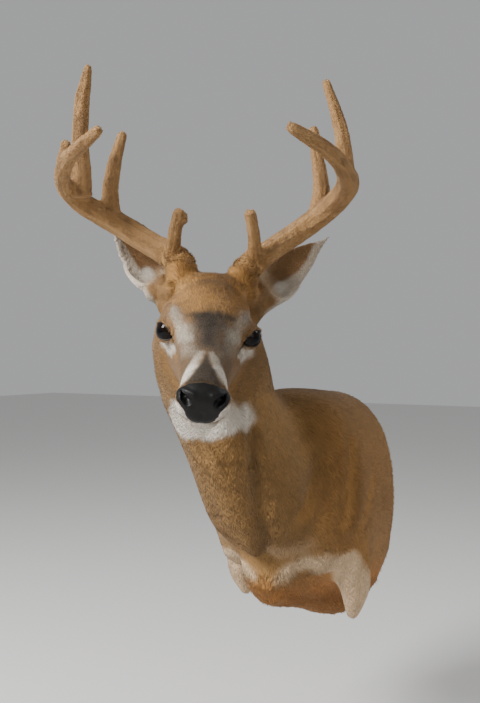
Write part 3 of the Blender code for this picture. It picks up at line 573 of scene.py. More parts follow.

# Each marking of the head: softness, colour, how strong, and the path on the left side, with how
# far the marking reaches from each of its points
HEAD_MARKINGS = {
    "forehead": (0.012, RUST, 1.0,
     [(-0.09, 0.0, 0.05, 0.05), (-0.045, 0.0, 0.055, 0.052), (-0.01, 0.0, 0.048, 0.038)]),
    "forehead_side": (0.014, RUST, 0.9, [(-0.085, 0.048, 0.036, 0.03), (-0.03, 0.04, 0.036, 0.022)]),
    "temple": (0.016, CHEEK_BROWN, 0.8, [(-0.05, 0.06, 0.01, 0.024), (-0.075, 0.056, -0.01, 0.024)]),
    "muzzle": (0.014, MUZZLE_BROWN, 0.85,
     [(0.06, 0.022, 0.018, 0.022), (0.1, 0.02, 0.012, 0.024), (0.15, 0.018, 0.004, 0.02)]),
    "bridge": (0.012, BRIDGE_GREY, 0.8, [(0.036, 0.0, 0.036, 0.022), (0.085, 0.0, 0.031, 0.016)]),
    "eye_ring_top": (0.008, EYE_RING, 0.85,
     [(-0.018, 0.062, 0.02, 0.004), (0.004, 0.052, 0.03, 0.006), (0.024, 0.043, 0.026, 0.008),
      (0.04, 0.036, 0.018, 0.012), (0.056, 0.028, 0.018, 0.01), (0.07, 0.022, 0.02, 0.004)]),
    "pale_cheek": (0.01, EYE_RING, 0.45,
     [(0.052, 0.033, 0.012, 0.009), (0.08, 0.027, 0.014, 0.009), (0.104, 0.017, 0.022, 0.004)]),
    "eye_ring_bottom": (0.006, WHITE, 0.8,
     [(0.034, 0.046, -0.012, 0.006), (0.018, 0.056, -0.026, 0.012), (-0.01, 0.067, -0.032, 0.012)]),
    "blaze": (0.009, BLAZE, 0.95,
     [(0.027, 0.0, 0.038, 0.011), (0.04, 0.0, 0.035, 0.011), (0.06, 0.0, 0.032, 0.007),
      (0.086, 0.0, 0.03, 0.003)]),
    "blaze_arm": (0.006, BLAZE, 0.8, [(0.026, 0.01, 0.038, 0.007), (0.02, 0.032, 0.034, 0.004)]),
    "nose_band_top": (0.0045, PALE_BAND, 0.85,
     [(0.108, 0.007, 0.027, 0.003), (0.124, 0.014, 0.024, 0.008), (0.142, 0.021, 0.019, 0.011),
      (0.154, 0.025, 0.016, 0.008)]),
    "nose_band": (0.0045, WHITE, 0.9,
     [(0.136, 0.02, 0.019, 0.0085), (0.146, 0.028, 0.008, 0.0125), (0.152, 0.034, -0.008, 0.01)]),
    "nose_centre": (0.004, BLAZE, 0.93,
     [(0.114, 0.0, 0.028, 0.001), (0.139, 0.0, 0.026, 0.0075), (0.152, 0.0, 0.024, 0.0135),
      (0.17, 0.0, 0.02, 0.023)]),
    "nose_edge": (0.003, BLAZE, 0.85,
     [(0.168, 0.0, 0.027, 0.003), (0.168, 0.016, 0.023, 0.003), (0.166, 0.029, 0.014, 0.003),
      (0.166, 0.037, 0.002, 0.002)]),
    "tear_line": (0.0028, BLACK_SKIN, 0.9, [(0.022, 0.046, -0.004, 0.003), (0.042, 0.041, -0.014, 0.0012)]),
    "upper_lip": (0.003, WHITE, 0.95,
     [(0.184, 0.0, -0.036, 0.004), (0.182, 0.028, -0.013, 0.009), (0.162, 0.034, -0.022, 0.011),
      (0.12, 0.036, -0.034, 0.006), (0.09, 0.039, -0.038, 0.003)]),
    "chin": (0.008, WHITE, 0.98,
     [(0.172, 0.0, -0.05, 0.022), (0.11, 0.0, -0.066, 0.03), (0.04, 0.0, -0.095, 0.034)]),
    "chin_spot": (0.004, BLAZE, 0.8, [(0.15, 0.029, -0.052, 0.006), (0.138, 0.03, -0.054, 0.006)]),
    "throat": (0.006, WHITE, 0.98, [(0.05, 0.012, -0.112, 0.028), (0.015, 0.015, -0.13, 0.034)]),
    # painted shadow of the chin on the throat: a thin dark line along its underside
    "chin_painted_shadow": (0.0014, BLAZE, 0.75,
     [(0.174, 0.0, -0.056, 0.0006), (0.166, 0.018, -0.054, 0.0006), (0.146, 0.03, -0.05, 0.0004)]),
    "mouth": (0.001, BLACK_SKIN, 0.9, [(*place, 0.0014) for place in MOUTH_LINE]),
}

# Each marking of the body, in the world, alike
BODY_MARKINGS = {
    "back": (0.045, BACK_BROWN, 0.75,
     [(0.0, -0.24, 0.26, 0.06), (0.0, -0.16, 0.215, 0.06), (0.0, 0.0, 0.205, 0.06)]),
    "shoulder_left": (0.03, BODY_RED, 0.9, [(0.085, -0.235, 0.03, 0.03), (0.13, -0.15, 0.06, 0.06)]),
    "shoulder_right": (0.03, BODY_RED, 0.9,
                       [(-0.085, -0.235, 0.03, 0.03), (-0.13, -0.15, 0.06, 0.06)]),
    "armpit_left": (0.008, PALE_TAN, 0.92,
     [(0.026, -0.25, -0.08, 0.005), (0.04, -0.242, -0.066, 0.01), (0.066, -0.228, -0.052, 0.014),
      (0.09, -0.208, -0.052, 0.018), (0.112, -0.18, -0.062, 0.026), (0.114, -0.155, -0.095, 0.032),
      (0.11, -0.142, -0.15, 0.034)]),
    "armpit_right": (0.008, PALE_TAN, 0.92,
     [(-0.014, -0.252, -0.078, 0.005), (-0.04, -0.24, -0.064, 0.01), (-0.066, -0.222, -0.054, 0.014),
      (-0.092, -0.19, -0.064, 0.024), (-0.098, -0.16, -0.085, 0.03), (-0.094, -0.142, -0.145, 0.034)]),
    "throat": (0.006, WHITE, 0.98,
     [(-0.07, -0.365, 0.172, 0.026), (-0.04, -0.375, 0.177, 0.028), (0.0, -0.365, 0.178, 0.028),
      (0.014, -0.35, 0.178, 0.022)]),
    "chest_v": (0.014, PALE_TAN, 0.3, [(0.03, -0.262, -0.03, 0.014), (0.07, -0.24, -0.022, 0.012)]),
}


def tapered_distance(points, path):
    """How far each point is outside a line of varying reach."""
    path = np.asarray(path, dtype=float)
    nearest = np.full(len(points), np.inf)
    for start, end in zip(path, path[1:]):
        along = end[:3] - start[:3]
        share = np.clip((points - start[:3]) @ along / (along @ along), 0.0, 1.0)
        off = np.linalg.norm(points - start[:3] - share[:, None] * along, axis=1)
        nearest = np.minimum(nearest, off - start[3] - share * (end[3] - start[3]))
    return nearest


def ear_axes(side, side_name):
    """Root, direction to the tip, and length of an ear, from its solid."""
    points = in_head(points_of(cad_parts["ear_" + side_name].data))
    root = np.array((-0.108, side * 0.055, -0.007))
    tip = points[np.argmax(np.linalg.norm(points - root, axis=1))]
    length = np.linalg.norm(tip - root)
    return root, (tip - root) / length, length


EARS = {side: ear_axes(side, side_name) for side, side_name in SIDES}
EAR_FACING = np.array((0.8, 0.14, 0.5))
# Where the pale lower part of the cup begins, across the ear, by share of its length; further across on the
# right ear, whose wider dark part is partly painted shadow of the beam
EAR_PALE_SHARES = (0.3, 0.55, 0.67, 0.78, 1.0)
EAR_PALE_FROM_WITH_PAINTED_SHADOW = {LEFT: (0.004, 0.009, 0.003, -0.008, -0.02), RIGHT: (0.016, 0.023, 0.019, 0.008, -0.006)}


def ear_fields(here, normals, side):
    """Share of the way along an ear, how far off its line, and how much a point faces its cup."""
    root, along, length = EARS[side]
    offset = here - root
    share = offset @ along / length
    share = np.where(np.linalg.norm(offset - (offset @ along)[:, None] * along, axis=1) < 0.064, share, 0.0)
    share = np.where(share > 1.15, 0.0, share)
    facing = EAR_FACING * (1.0, side, 1.0)
    facing = facing - along * (facing @ along)
    facing /= np.linalg.norm(facing)
    across = np.cross(along, facing)
    return share, offset @ across, normals @ facing


def coat_colours(points, normals):
    """The colour of the coat at points of the skin."""
    here = in_head(points)
    normals = normals @ HEAD_AXES
    wander = 0.5 * mottle(here, 0.006, 1) + 0.5 * mottle(here, 0.016, 2)
    on_head = ramp(past_crown(here), -0.075, -0.035)
    side_of_body = ramp(np.abs(points[:, 0] + 0.02), 0.05, 0.12) * ramp(points[:, 1], -0.26, -0.2)
    low = ramp(points[:, 2], -0.06, -0.11)
    colours = np.empty_like(points)
    colours[:] = NECK_BROWN

    def paint(weight, colour):
        colours[:] += (np.array(colour) - colours) * weight[:, None]

    paint(side_of_body * 0.85, BODY_RED)
    paint(ramp(points[:, 2], 0.1, 0.2) * ramp(points[:, 1], -0.22, -0.16) * 0.5, CHEEK_BROWN)
    paint(low * 0.9, BELLY_ORANGE)
    # Painted shade: the coat is darkened along each furrow, by its depth
    for width, depth, path in FURROWS:
        colours *= (1 - FURROW_PAINTED_SHADE * depth * groove(points, width, path))[:, None]
    for softness, colour, strength, path in BODY_MARKINGS.values():
        distance = tapered_distance(points, path) + 0.6 * softness * wander
        paint(ramp(distance, softness, -softness) * strength, colour)
    paint(on_head, CHEEK_BROWN)
    either_side = np.column_stack((here[:, 0], np.abs(here[:, 1]), here[:, 2]))
    for softness, colour, strength, path in HEAD_MARKINGS.values():
        distance = tapered_distance(either_side, path) + 0.7 * softness * wander
        paint(ramp(distance, softness, -softness) * strength, colour)
    for side in (LEFT, RIGHT):
        share, across, facing = ear_fields(here, normals, side)
        on_ear = ramp(share, 0.16, 0.24) * (here[:, 1] * side > 0.05)
        paint(on_ear, EAR_BROWN)
        cup = on_ear * ramp(facing, -0.05, 0.25)
        paint(cup, EAR_INNER)
        low_side = across * side
        # On the right ear the dark inner part reaches further across: partly painted shadow of the antler
        # beam
        brink = low_side - np.interp(share, EAR_PALE_SHARES, EAR_PALE_FROM_WITH_PAINTED_SHADOW[side])
        paint(cup * ramp(brink, -0.004, 0.004) * 0.95, EAR_PALE)
        paint(cup * ramp(share, 0.38, 0.24) * 0.7, PALE_TAN)
        spot = np.hypot((share - 0.34) * EARS[side][2], low_side - 0.013)
        paint(cup * ramp(spot, 0.016, 0.006), WHITE)
        lower_foot = ramp(share, 0.02, 0.1) * ramp(low_side, 0.02, 0.027) * (here[:, 1] * side > 0.05)
        paint(lower_foot * 0.9, EAR_PALE)
        paint(on_ear * ramp(np.abs(facing), 0.7, 0.45) * ramp(low_side, -0.004, 0.004) * 0.9, EAR_PALE)
        taper = np.sqrt(np.clip(1.02 - share, 0.02, 1.0))
        paint(on_ear * ramp(low_side / taper, 0.018, 0.026) * 0.9, EAR_PALE)
    paint(bare_nose(points), BLACK_SKIN)
    colours *= (1 + 0.06 * mottle(points, 0.012, 5) + 0.06 * mottle(points, 0.045, 6))[:, None]
    return np.clip(colours, 0.002, 1.0)


def give_colours(mesh, colours):
    layer = mesh.color_attributes.new(name="coat", type="FLOAT_COLOR", domain="POINT")
    opaque = np.column_stack((colours, np.ones(len(colours))))
    layer.data.foreach_set("color", opaque.astype(np.float32).ravel())


def give_mask(mesh, name, values):
    mesh.attributes.new(name, "FLOAT", "POINT").data.foreach_set("value", values.astype(np.float32))


hide_points = points_of(hide.data)
# The skin takes the coat's colours, darkened by painted shade from the tufts over it
give_colours(hide.data, coat_colours(hide_points, normals_of(hide.data)) * HIDE_PAINTED_SHADE)
give_mask(hide.data, "bare", bare_nose(hide_points))


# Finish: matt skin with the stubble of the coat between the tufts, and a pebbled, varnished nose pad
def start_material(name):
    """A new material with its node tree, shader, and place on the object."""
    material = bpy.data.materials.new(name)
    material.use_nodes = True
    tree = material.node_tree
    place = tree.nodes.new("ShaderNodeTexCoord").outputs["Object"]
    return material, tree, tree.nodes["Principled BSDF"], place


def add_node(tree, kind, *inputs, operation=None, **named_inputs):
    """A shader node with some inputs given, in order or by name, as values or other nodes' outputs."""
    node = tree.nodes.new(kind)
    if operation:
        node.operation = operation
    named = [(name.replace("_", " "), value) for name, value in named_inputs.items()]
    for key, value in [*enumerate(inputs), *named]:
        if isinstance(value, bpy.types.NodeSocket):
            tree.links.new(value, node.inputs[key])
        else:
            node.inputs[key].default_value = value
    return node


def read_attribute(tree, name):
    node = tree.nodes.new("ShaderNodeAttribute")
    node.attribute_name = name
    return node.outputs


def two_tones(tree, share, dark, pale):
    """A blend from a dark to a pale colour."""
    blend = add_node(tree, "ShaderNodeValToRGB", Fac=share)
    blend.color_ramp.elements[0].color = (*dark, 1.0)
    blend.color_ramp.elements[1].color = (*pale, 1.0)
    return blend.outputs["Color"]


def build_fine_grain():
    """Fine random grain for any finish: its height, and the surface turned by it."""
    group = bpy.data.node_groups.new("fine_grain", "ShaderNodeTree")
    for name, kind, start in (("Vector", "NodeSocketVector", None), ("Scale", "NodeSocketFloat", 1000.0),
                              ("Detail", "NodeSocketFloat", 3.0), ("Strength", "NodeSocketFloat", 0.5),
                              ("Distance", "NodeSocketFloat", 0.0005)):
        socket = group.interface.new_socket(name=name, in_out="INPUT", socket_type=kind)
        if start is not None:
            socket.default_value = start
    group.interface.new_socket(name="Height", in_out="OUTPUT", socket_type="NodeSocketFloat")
    group.interface.new_socket(name="Normal", in_out="OUTPUT", socket_type="NodeSocketVector")
    given = group.nodes.new("NodeGroupInput").outputs
    put_out = group.nodes.new("NodeGroupOutput").inputs
    noise = add_node(group, "ShaderNodeTexNoise", Vector=given["Vector"], Scale=given["Scale"],
                     Detail=given["Detail"])
    bump = add_node(group, "ShaderNodeBump", Strength=given["Strength"], Distance=given["Distance"],
                    Height=noise.outputs["Fac"])
    group.links.new(noise.outputs["Fac"], put_out["Height"])
    group.links.new(bump.outputs["Normal"], put_out["Normal"])
    return group


FINE_GRAIN = build_fine_grain()


def fine_grain(tree, place, scale, detail, strength=0.5, distance=0.0005):
    node = tree.nodes.new("ShaderNodeGroup")
    node.node_tree = FINE_GRAIN
    tree.links.new(place, node.inputs["Vector"])
    for name, value in (("Scale", scale), ("Detail", detail), ("Strength", strength), ("Distance", distance)):
        node.inputs[name].default_value = value
    return node.outputs


hide_finish, tree, shader, place = start_material("tanned_hide")
bare = read_attribute(tree, "bare")["Fac"]
pebbles = add_node(tree, "ShaderNodeTexVoronoi", Vector=place, Scale=720.0)
pebbles.feature = "DISTANCE_TO_EDGE"
pebble_height = add_node(tree, "ShaderNodeMath", pebbles.outputs["Distance"], bare, operation="MULTIPLY")
stubble = fine_grain(tree, place, 900.0, 3.0)
relief = add_node(tree, "ShaderNodeMix", Factor=bare, A=stubble["Height"], B=pebble_height.outputs["Value"])
bump = add_node(tree, "ShaderNodeBump", Strength=0.34, Distance=0.0008, Height=relief.outputs["Result"])
roughness = add_node(tree, "ShaderNodeMapRange", Value=bare, To_Min=0.85, To_Max=0.46)
tree.links.new(read_attribute(tree, "coat")["Color"], shader.inputs["Base Color"])
tree.links.new(roughness.outputs["Result"], shader.inputs["Roughness"])
tree.links.new(bump.outputs["Normal"], shader.inputs["Normal"])
shader.inputs["Specular IOR Level"].default_value = 0.2
hide.data.materials.append(hide_finish)
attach(hide, "root")
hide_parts(*FLESH_NODES, *EAR_NODES)


# The coat
# Short dense summer hair, finer on the face, longer and ragged under the chest. It is grown in one
# go over the whole hide, in closed tufts that lie along the skin, and kept in pieces by part of the
# body, so that each piece stays small.

# Lie: hair runs back from the nose over the face, down the neck and chest, and back along the body
# to the wall. Each anchor is a place on the skin and the way that the hair lies there.
FACE_LIE = [
    ((0.185, 0.0, 0.01), (-1.0, 0.0, 0.25)),
    ((0.15, 0.0, 0.026), (-1.0, 0.0, 0.05)),
    ((0.09, 0.0, 0.032), (-1.0, 0.0, 0.08)),
    ((0.03, 0.0, 0.04), (-1.0, 0.0, 0.15)),
    ((-0.02, 0.0, 0.055), (-1.0, 0.0, 0.1)),
    ((-0.08, 0.0, 0.06), (-1.0, 0.0, -0.2)),
    ((-0.125, 0.0, 0.03), (-0.7, 0.0, -0.7)),
    ((0.15, 0.034, -0.01), (-1.0, 0.1, -0.15)),
    ((0.09, 0.04, -0.015), (-1.0, 0.15, -0.15)),
    ((0.04, 0.048, -0.015), (-1.0, 0.3, -0.2)),
    ((0.02, 0.044, 0.026), (-0.9, 0.5, 0.3)),
    ((-0.02, 0.055, 0.03), (-1.0, 0.3, 0.2)),
    ((0.0, 0.064, -0.03), (-1.0, 0.1, -0.25)),
    ((-0.05, 0.062, -0.03), (-0.9, 0.05, -0.45)),
    ((-0.06, 0.06, 0.01), (-1.0, 0.2, 0.05)),
    ((0.15, 0.0, -0.06), (-1.0, 0.0, -0.1)),
    ((0.08, 0.0, -0.08), (-1.0, 0.0, -0.2)),
    ((0.02, 0.0, -0.12), (-0.5, 0.0, -0.85)),
]
BODY_LIE = [
    ((-0.04, -0.33, 0.2), (0.05, 0.05, -1.0)),
    ((-0.01, -0.35, 0.13), (0.05, 0.15, -1.0)),
    ((0.0, -0.31, 0.04), (0.0, 0.45, -1.0)),
    ((0.0, -0.26, -0.06), (0.0, 0.8, -0.8)),
    ((0.06, -0.3, 0.2), (0.1, 0.35, -1.0)),
    ((0.055, -0.25, 0.19), (0.5, 0.25, -0.8)),
    ((0.075, -0.225, 0.15), (0.5, 0.3, -0.8)),
    ((-0.14, -0.28, 0.2), (-0.1, 0.35, -1.0)),
    ((0.02, -0.22, 0.28), (0.05, 0.8, -0.8)),
    ((-0.04, -0.19, 0.26), (0.0, 0.8, -0.6)),
    ((0.11, -0.23, 0.08), (0.2, 0.6, -0.9)),
    ((-0.12, -0.22, 0.08), (-0.2, 0.6, -0.9)),
    ((0.14, -0.15, 0.08), (0.0, 1.0, -0.6)),
    ((-0.14, -0.15, 0.08), (0.0, 1.0, -0.6)),
    ((0.135, -0.06, 0.08), (0.0, 1.0, -0.35)),
    ((-0.135, -0.06, 0.08), (0.0, 1.0, -0.35)),
    ((0.0, -0.1, 0.21), (0.0, 1.0, 0.0)),
    ((0.11, -0.142, -0.11), (0.0, 0.25, -1.0)),
    ((-0.095, -0.142, -0.11), (0.0, 0.25, -1.0)),
    ((0.0, -0.2, -0.13), (0.0, 0.9, -0.6)),
    ((0.0, -0.08, -0.18), (0.0, 1.0, -0.4)),
]


def unit(vectors):
    return vectors / np.maximum(np.linalg.norm(vectors, axis=-1, keepdims=True), 1e-9)


def lie_anchors():
    places = []
    ways = []
    for place, way in FACE_LIE:
        for side in (LEFT, RIGHT):
            places.append(to_world((place[0], side * place[1], place[2])))
            ways.append(HEAD_AXES @ np.array((way[0], side * way[1], way[2])))
    for place, way in BODY_LIE:
        places.append(np.array(place))
        ways.append(np.array(way))
    return np.array(places), unit(np.array(ways))


LIE_PLACES, LIE_WAYS = lie_anchors()
LIE_BLEND = 0.02                # nearer than this to an anchor, the hair lies as it says
LIE_WANDER = 0.12               # how far it turns from there, this way and that
COAT_RUFFLE = 0.26              # how much each tuft strays from its neighbours
COAT_ROOT_PAINTED_SHADE, COAT_TIP_GAIN = 0.74, 1.12      # painted shade makes the hair darker at its root; it is paler at its tip


def along_skin(ways, normals):
    return unit(ways - normals * np.sum(ways * normals, axis=1)[:, None])


def lie_of(points, normals):
    """The way that the hair lies, along the skin."""
    flow = np.zeros_like(points)
    for place, way in zip(LIE_PLACES, LIE_WAYS):
        closeness = 1 / (np.sum((points - place) ** 2, axis=1) + LIE_BLEND ** 2) ** 2
        flow += closeness[:, None] * way
    flow = unit(flow)
    here = in_head(points)
    for side in (LEFT, RIGHT):
        share = ear_fields(here, normals @ HEAD_AXES, side)[0]
        on_ear = (ramp(share, 0.1, 0.22) * (here[:, 1] * side > 0.05))[:, None]
        flow += (HEAD_AXES @ EARS[side][1] - flow) * on_ear
    flow += LIE_WANDER * np.column_stack([mottle(points, 0.02, 11 + axis) for axis in range(3)])
    return along_skin(flow, normals)


# Tufts: each is a slim closed lock, ridged along its middle, lying on the skin from root to tip
COAT_SEED = 41
ROOT_SINK = 0.04                # shares of a tuft's length: how far its root is sunk,
RIDGE_AT, TIP_AT = 0.42, 0.97   # where its ridge is highest and where it ends,
TIP_DROOP = 0.25                # and how far its tip drops back, by its lift
RIDGE_OF_LENGTH, RIDGE_OF_WIDTH = 0.03, 0.3
UV_PATCH = 0.0015               # half the width of a tuft's patch on the skin's map


def strew(mesh, density, rng):
    """Roots strewn over a skin at random, as densely as asked: places, normals and places on its map."""
    corners = np.empty(len(mesh.loops), dtype=np.int32)
    mesh.loops.foreach_get("vertex_index", corners)
    corners = corners.reshape(-1, 3)
    layer = np.empty(len(mesh.loops) * 2, dtype=np.float32)
    mesh.uv_layers["OFBake"].data.foreach_get("uv", layer)
    corner_uvs = layer.reshape(-1, 3, 2).astype(float)
    corner_points = points_of(mesh)[corners]
    cross = np.cross(corner_points[:, 1] - corner_points[:, 0], corner_points[:, 2] - corner_points[:, 0])
    area = np.linalg.norm(cross, axis=1) / 2
    expected = area * density(corner_points.mean(axis=1), unit(cross))
    count = np.floor(expected + rng.random(len(expected))).astype(int)
    face = np.repeat(np.arange(len(corners)), count)
    share = rng.random((len(face), 2))
    flip = share.sum(axis=1) > 1
    share[flip] = 1 - share[flip]
    weights = np.column_stack((1 - share.sum(axis=1), share))

    def blend(values):
        return np.einsum("ij,ijk->ik", weights, values[face])

    return blend(corner_points), unit(blend(normals_of(mesh)[corners])), blend(corner_uvs)


def grow(name, roots, normals, uvs, lie, length, width, lift, colours, tip_gain, root_painted_shade):
    """One piece of coat: a lock at each root, all in one mesh."""
    count = len(roots)
    side_way = unit(np.cross(normals, lie))
    rise = np.sin(lift)[:, None]
    forward = lie * np.cos(lift)[:, None] + normals * rise
    half = side_way * (width / 2)[:, None]
    length = length[:, None]
    base = roots - normals * length * ROOT_SINK
    height = RIDGE_OF_LENGTH * length + RIDGE_OF_WIDTH * width[:, None]
    ridge = base + forward * length * RIDGE_AT + normals * height
    tip = base + forward * length * TIP_AT - normals * length * rise * TIP_DROOP
    vertices = np.stack((base - half, base + half, ridge, tip), axis=1).reshape(-1, 3)
    vertices[:, 1] = np.minimum(vertices[:, 1], -WALL_GAP)
    pattern = np.array(((0, 2, 1), (1, 2, 3), (0, 3, 2), (0, 1, 3)))
    faces = (np.arange(count)[:, None, None] * 4 + pattern[None]).reshape(-1, 3)
    mesh = bpy.data.meshes.new(name)
    mesh.vertices.add(len(vertices))
    mesh.vertices.foreach_set("co", vertices.astype(np.float32).ravel())
    mesh.loops.add(faces.size)
    mesh.loops.foreach_set("vertex_index", faces.astype(np.int32).ravel())
    mesh.polygons.add(len(faces))
    mesh.polygons.foreach_set("loop_start", np.arange(0, faces.size, 3, dtype=np.int32))
    mesh.update(calc_edges=True)
    mesh.shade_smooth()
    patch = np.array(((-1, -1), (1, -1), (0, 0), (0, 1))) * UV_PATCH
    spots = (uvs[:, None] + patch[None]).reshape(-1, 2)
    layer = mesh.uv_layers.new(name="OFBake")
    layer.data.foreach_set("uv", spots[faces.ravel()].astype(np.float32).ravel())
    # Painted shade: each lock is darker at its root, where it meets the skin
    roots_painted_shade = np.full(count, root_painted_shade)
    gains = np.stack((roots_painted_shade, roots_painted_shade, np.ones(count), tip_gain), axis=1)
    shades = colours[:, None] * gains[:, :, None]
    give_colours(mesh, np.clip(shades.reshape(-1, 3), 0.002, 1.0))
    return place_mesh(name, mesh)


# The coat of the body, before each region changes it: tufts per square millimetre, their length,
# width, and lift from the skin as an angle
BODY_COAT = {"density": 0.46, "length": 0.015, "width": 0.0015, "lift": 0.14}
# The leg stubs, from shoulder to cut end: each point with the stub's radius there
STUBS = [[(0.104, -0.17, -0.07, 0.04), (0.112, -0.142, -0.165, 0.034)],
         [(-0.092, -0.17, -0.07, 0.04), (-0.096, -0.142, -0.16, 0.034)]]


def from_stubs(points):
    return np.minimum(tapered_distance(points, STUBS[0]), tapered_distance(points, STUBS[1]))


def hairless(points, normals):
    """1 on the nose pad, the eyes, the mouth's line and the back against the board, 0 elsewhere."""
    here = in_head(points)
    balls = (from_eyes(here) < EYE_BALL_RADIUS + 0.0003) | (distance_to(here, MOUTH_LINE) < 0.0012)
    bald = np.clip(bare_nose(points) * 1.5, 0, 1)
    back_facing = ramp(normals[:, 1], 0.75, 0.9) * ramp(points[:, 1], -0.05, -0.03)
    behind = np.clip(ramp(points[:, 1], -0.004, -0.001) + back_facing, 0, 1)
    return 1 - (1 - bald) * (1 - behind) * ~balls


def fur_plan(points, normals):
    """How the coat grows at places on the skin: its density, length, width and lift."""
    plan = {name: np.full(len(points), value) for name, value in BODY_COAT.items()}

    def add(weight, **changes):
        for name, change in changes.items():
            plan[name] += weight * change

    def turn_to(weight, **targets):
        for name, target in targets.items():
            plan[name] += weight * (target - plan[name])

    here = in_head(points)
    face = ramp(past_crown(here), -0.075, -0.035)
    muzzle = ramp(here[:, 0], 0.03, 0.12) * face
    near_eye = ramp(from_eyes(here), 0.034, 0.02)
    low = ramp(points[:, 2], -0.095, -0.13) * ramp(from_stubs(points), -0.004, 0.012)
    leg = ramp(from_stubs(points), 0.012, -0.002) * (1 - face)
    throat = ramp(from_spot(here, (0.04, 0.0, -0.09)), 0.095, 0.06) * (1 - face)
    crown = ramp(from_spot(here, (-0.045, 0.0, 0.055)), 0.05, 0.02)
    add(face, density=0.56, length=-0.007, width=-0.0005, lift=0.06)
    add(muzzle, density=0.75, length=-0.0035, width=-0.0002)
    add(near_eye, density=0.5, length=-0.0025, width=-0.0001)
    add(low, length=0.0035, lift=0.17)
    add(leg, length=-0.006)
    add(throat, density=0.28, length=-0.005, width=-0.0004)
    add(crown * face, length=0.0025)
    add(crown, lift=0.12)
    for side in (LEFT, RIGHT):
        share, _, facing = ear_fields(here, normals @ HEAD_AXES, side)
        on_ear = ramp(share, 0.14, 0.22) * (here[:, 1] * side > 0.05)
        cup = on_ear * ramp(facing, 0.0, 0.3)
        rim = on_ear * ramp(np.abs(facing), 0.75, 0.45)
        ear_foot = ramp(from_spot(here, (-0.102, side * 0.088, -0.008)), 0.036, 0.018) * (1 - on_ear)
        rosette = ramp(from_spot(here, pedicle(side)), 0.036, 0.02) * (1 - on_ear)
        turn_to(on_ear, density=0.95, length=0.006, width=0.0008, lift=0.14)
        add(cup, length=0.003 * ramp(share, 0.6, 0.25), lift=0.05)
        add(rim, length=0.0008, lift=0.04)
        turn_to(ear_foot, length=0.0045, width=0.0008, lift=0.12)
        add(ear_foot, density=0.25)
        turn_to(rosette, length=0.0115)
        add(rosette, density=0.3, lift=0.14)
    plan["density"] *= 1e6 * (1 - hairless(points, normals))
    return plan


rng = np.random.default_rng(COAT_SEED)
roots, normals, uvs = strew(hide.data, lambda places, facings: fur_plan(places, facings)["density"], rng)
plan = fur_plan(roots, normals)
chance = rng.random((len(roots), 4))
clump = mottle(roots, 0.009, 21)
length = plan["length"] * (0.75 + 0.5 * chance[:, 0] + 0.05 * clump)
width = plan["width"] * (0.75 + 0.5 * chance[:, 1])
lift = plan["lift"] * (0.65 + 0.6 * chance[:, 2] + 0.05 * clump)
lie = lie_of(roots, normals)
lie = along_skin(lie + COAT_RUFFLE * (rng.random(lie.shape) - 0.5), normals)

# Each tuft has its own shade, more so on the forehead, where dark tips are mixed in
here = in_head(roots)
spread = 0.36 + 0.34 * ramp(here[:, 0], -0.13, -0.06) * ramp(here[:, 2], -0.02, 0.02)
colours = coat_colours(roots + lie * 0.002, normals)
colours *= (1 + spread * (chance[:, 3] - 0.5) + 0.06 * clump)[:, None]
grizzle = ramp(from_spot(here, (-0.005, 0.0, 0.045)), 0.075, 0.03)
tip_gain = COAT_TIP_GAIN - 0.75 * grizzle * (chance[:, 0] > 0.62)

# Finish: the markings' colours, with fine strands lighter and darker in them
deer_hair, tree, shader, place = start_material("deer_hair")
strands = fine_grain(tree, place, 1400.0, 2.0)
shade = add_node(tree, "ShaderNodeMapRange", strands["Height"], 0.3, 0.7, 0.78, 1.18)
tinted = add_node(tree, "ShaderNodeVectorMath", read_attribute(tree, "coat")["Color"],
                  Scale=shade.outputs["Result"], operation="SCALE")
tree.links.new(tinted.outputs["Vector"], shader.inputs["Base Color"])
shader.inputs["Roughness"].default_value = 0.62
shader.inputs["Specular IOR Level"].default_value = 0.22
shader.inputs["Sheen Weight"].default_value = 0.06
shader.inputs["Sheen Roughness"].default_value = 0.45

# Pieces: each tuft goes to the first one here that takes in its root
on_head = past_crown(here) > -0.06
on_ears = (np.abs(here[:, 1]) > 0.075) & (here[:, 0] < -0.08) & on_head
left = roots[:, 0] > -0.03
ahead = roots[:, 1] < -0.14
high = roots[:, 2] > 0.12
low = roots[:, 2] < -0.03
on_legs = (from_stubs(roots) < 0.012) & low
regions = {
    "ears": on_ears,
    "face_left": on_head & (here[:, 0] > 0.0) & (here[:, 1] > 0.0),
    "face_right": on_head & (here[:, 0] > 0.0),
    "crown": on_head,
    "leg_left": on_legs & left,
    "leg_right": on_legs,
    "chest": low,
    "neck_left": ahead & left & high,
    "neck_right": ahead & high,
    "shoulder_left": ahead & left,
    "shoulder_right": ahead,
    "back": np.full(len(roots), True),
}
zones = np.select(list(regions.values()), range(len(regions)))
for zone, region in enumerate(regions):
    chosen = zones == zone
    of_tufts = (roots, normals, uvs, lie, length, width, lift, colours, tip_gain)
    tufts = grow("coat_" + region, *(values[chosen] for values in of_tufts), COAT_ROOT_PAINTED_SHADE)
    tufts.data.materials.append(deer_hair)
    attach(tufts, "root")


# Eyes
# Glass balls with a wide dark pupil lying level in a deep brown iris, under a clear cornea that is
# part of the same glass, with black lid rims and a drawn-out front corner.
IRIS_BROWN = (0.006, 0.003, 0.0018)
PUPIL_BLACK = (0.002, 0.002, 0.003)
LID_BLACK = (0.012, 0.009, 0.007)
PUPIL_EDGE = (0.0095, 0.011)    # half the pupil's width, where the iris begins and where it is full
PUPIL_STRETCH = 1.7             # the pupil is this much wider than high
CORNEA_BULGE = 0.0008
LID_RIM_RADIUS = 0.0012


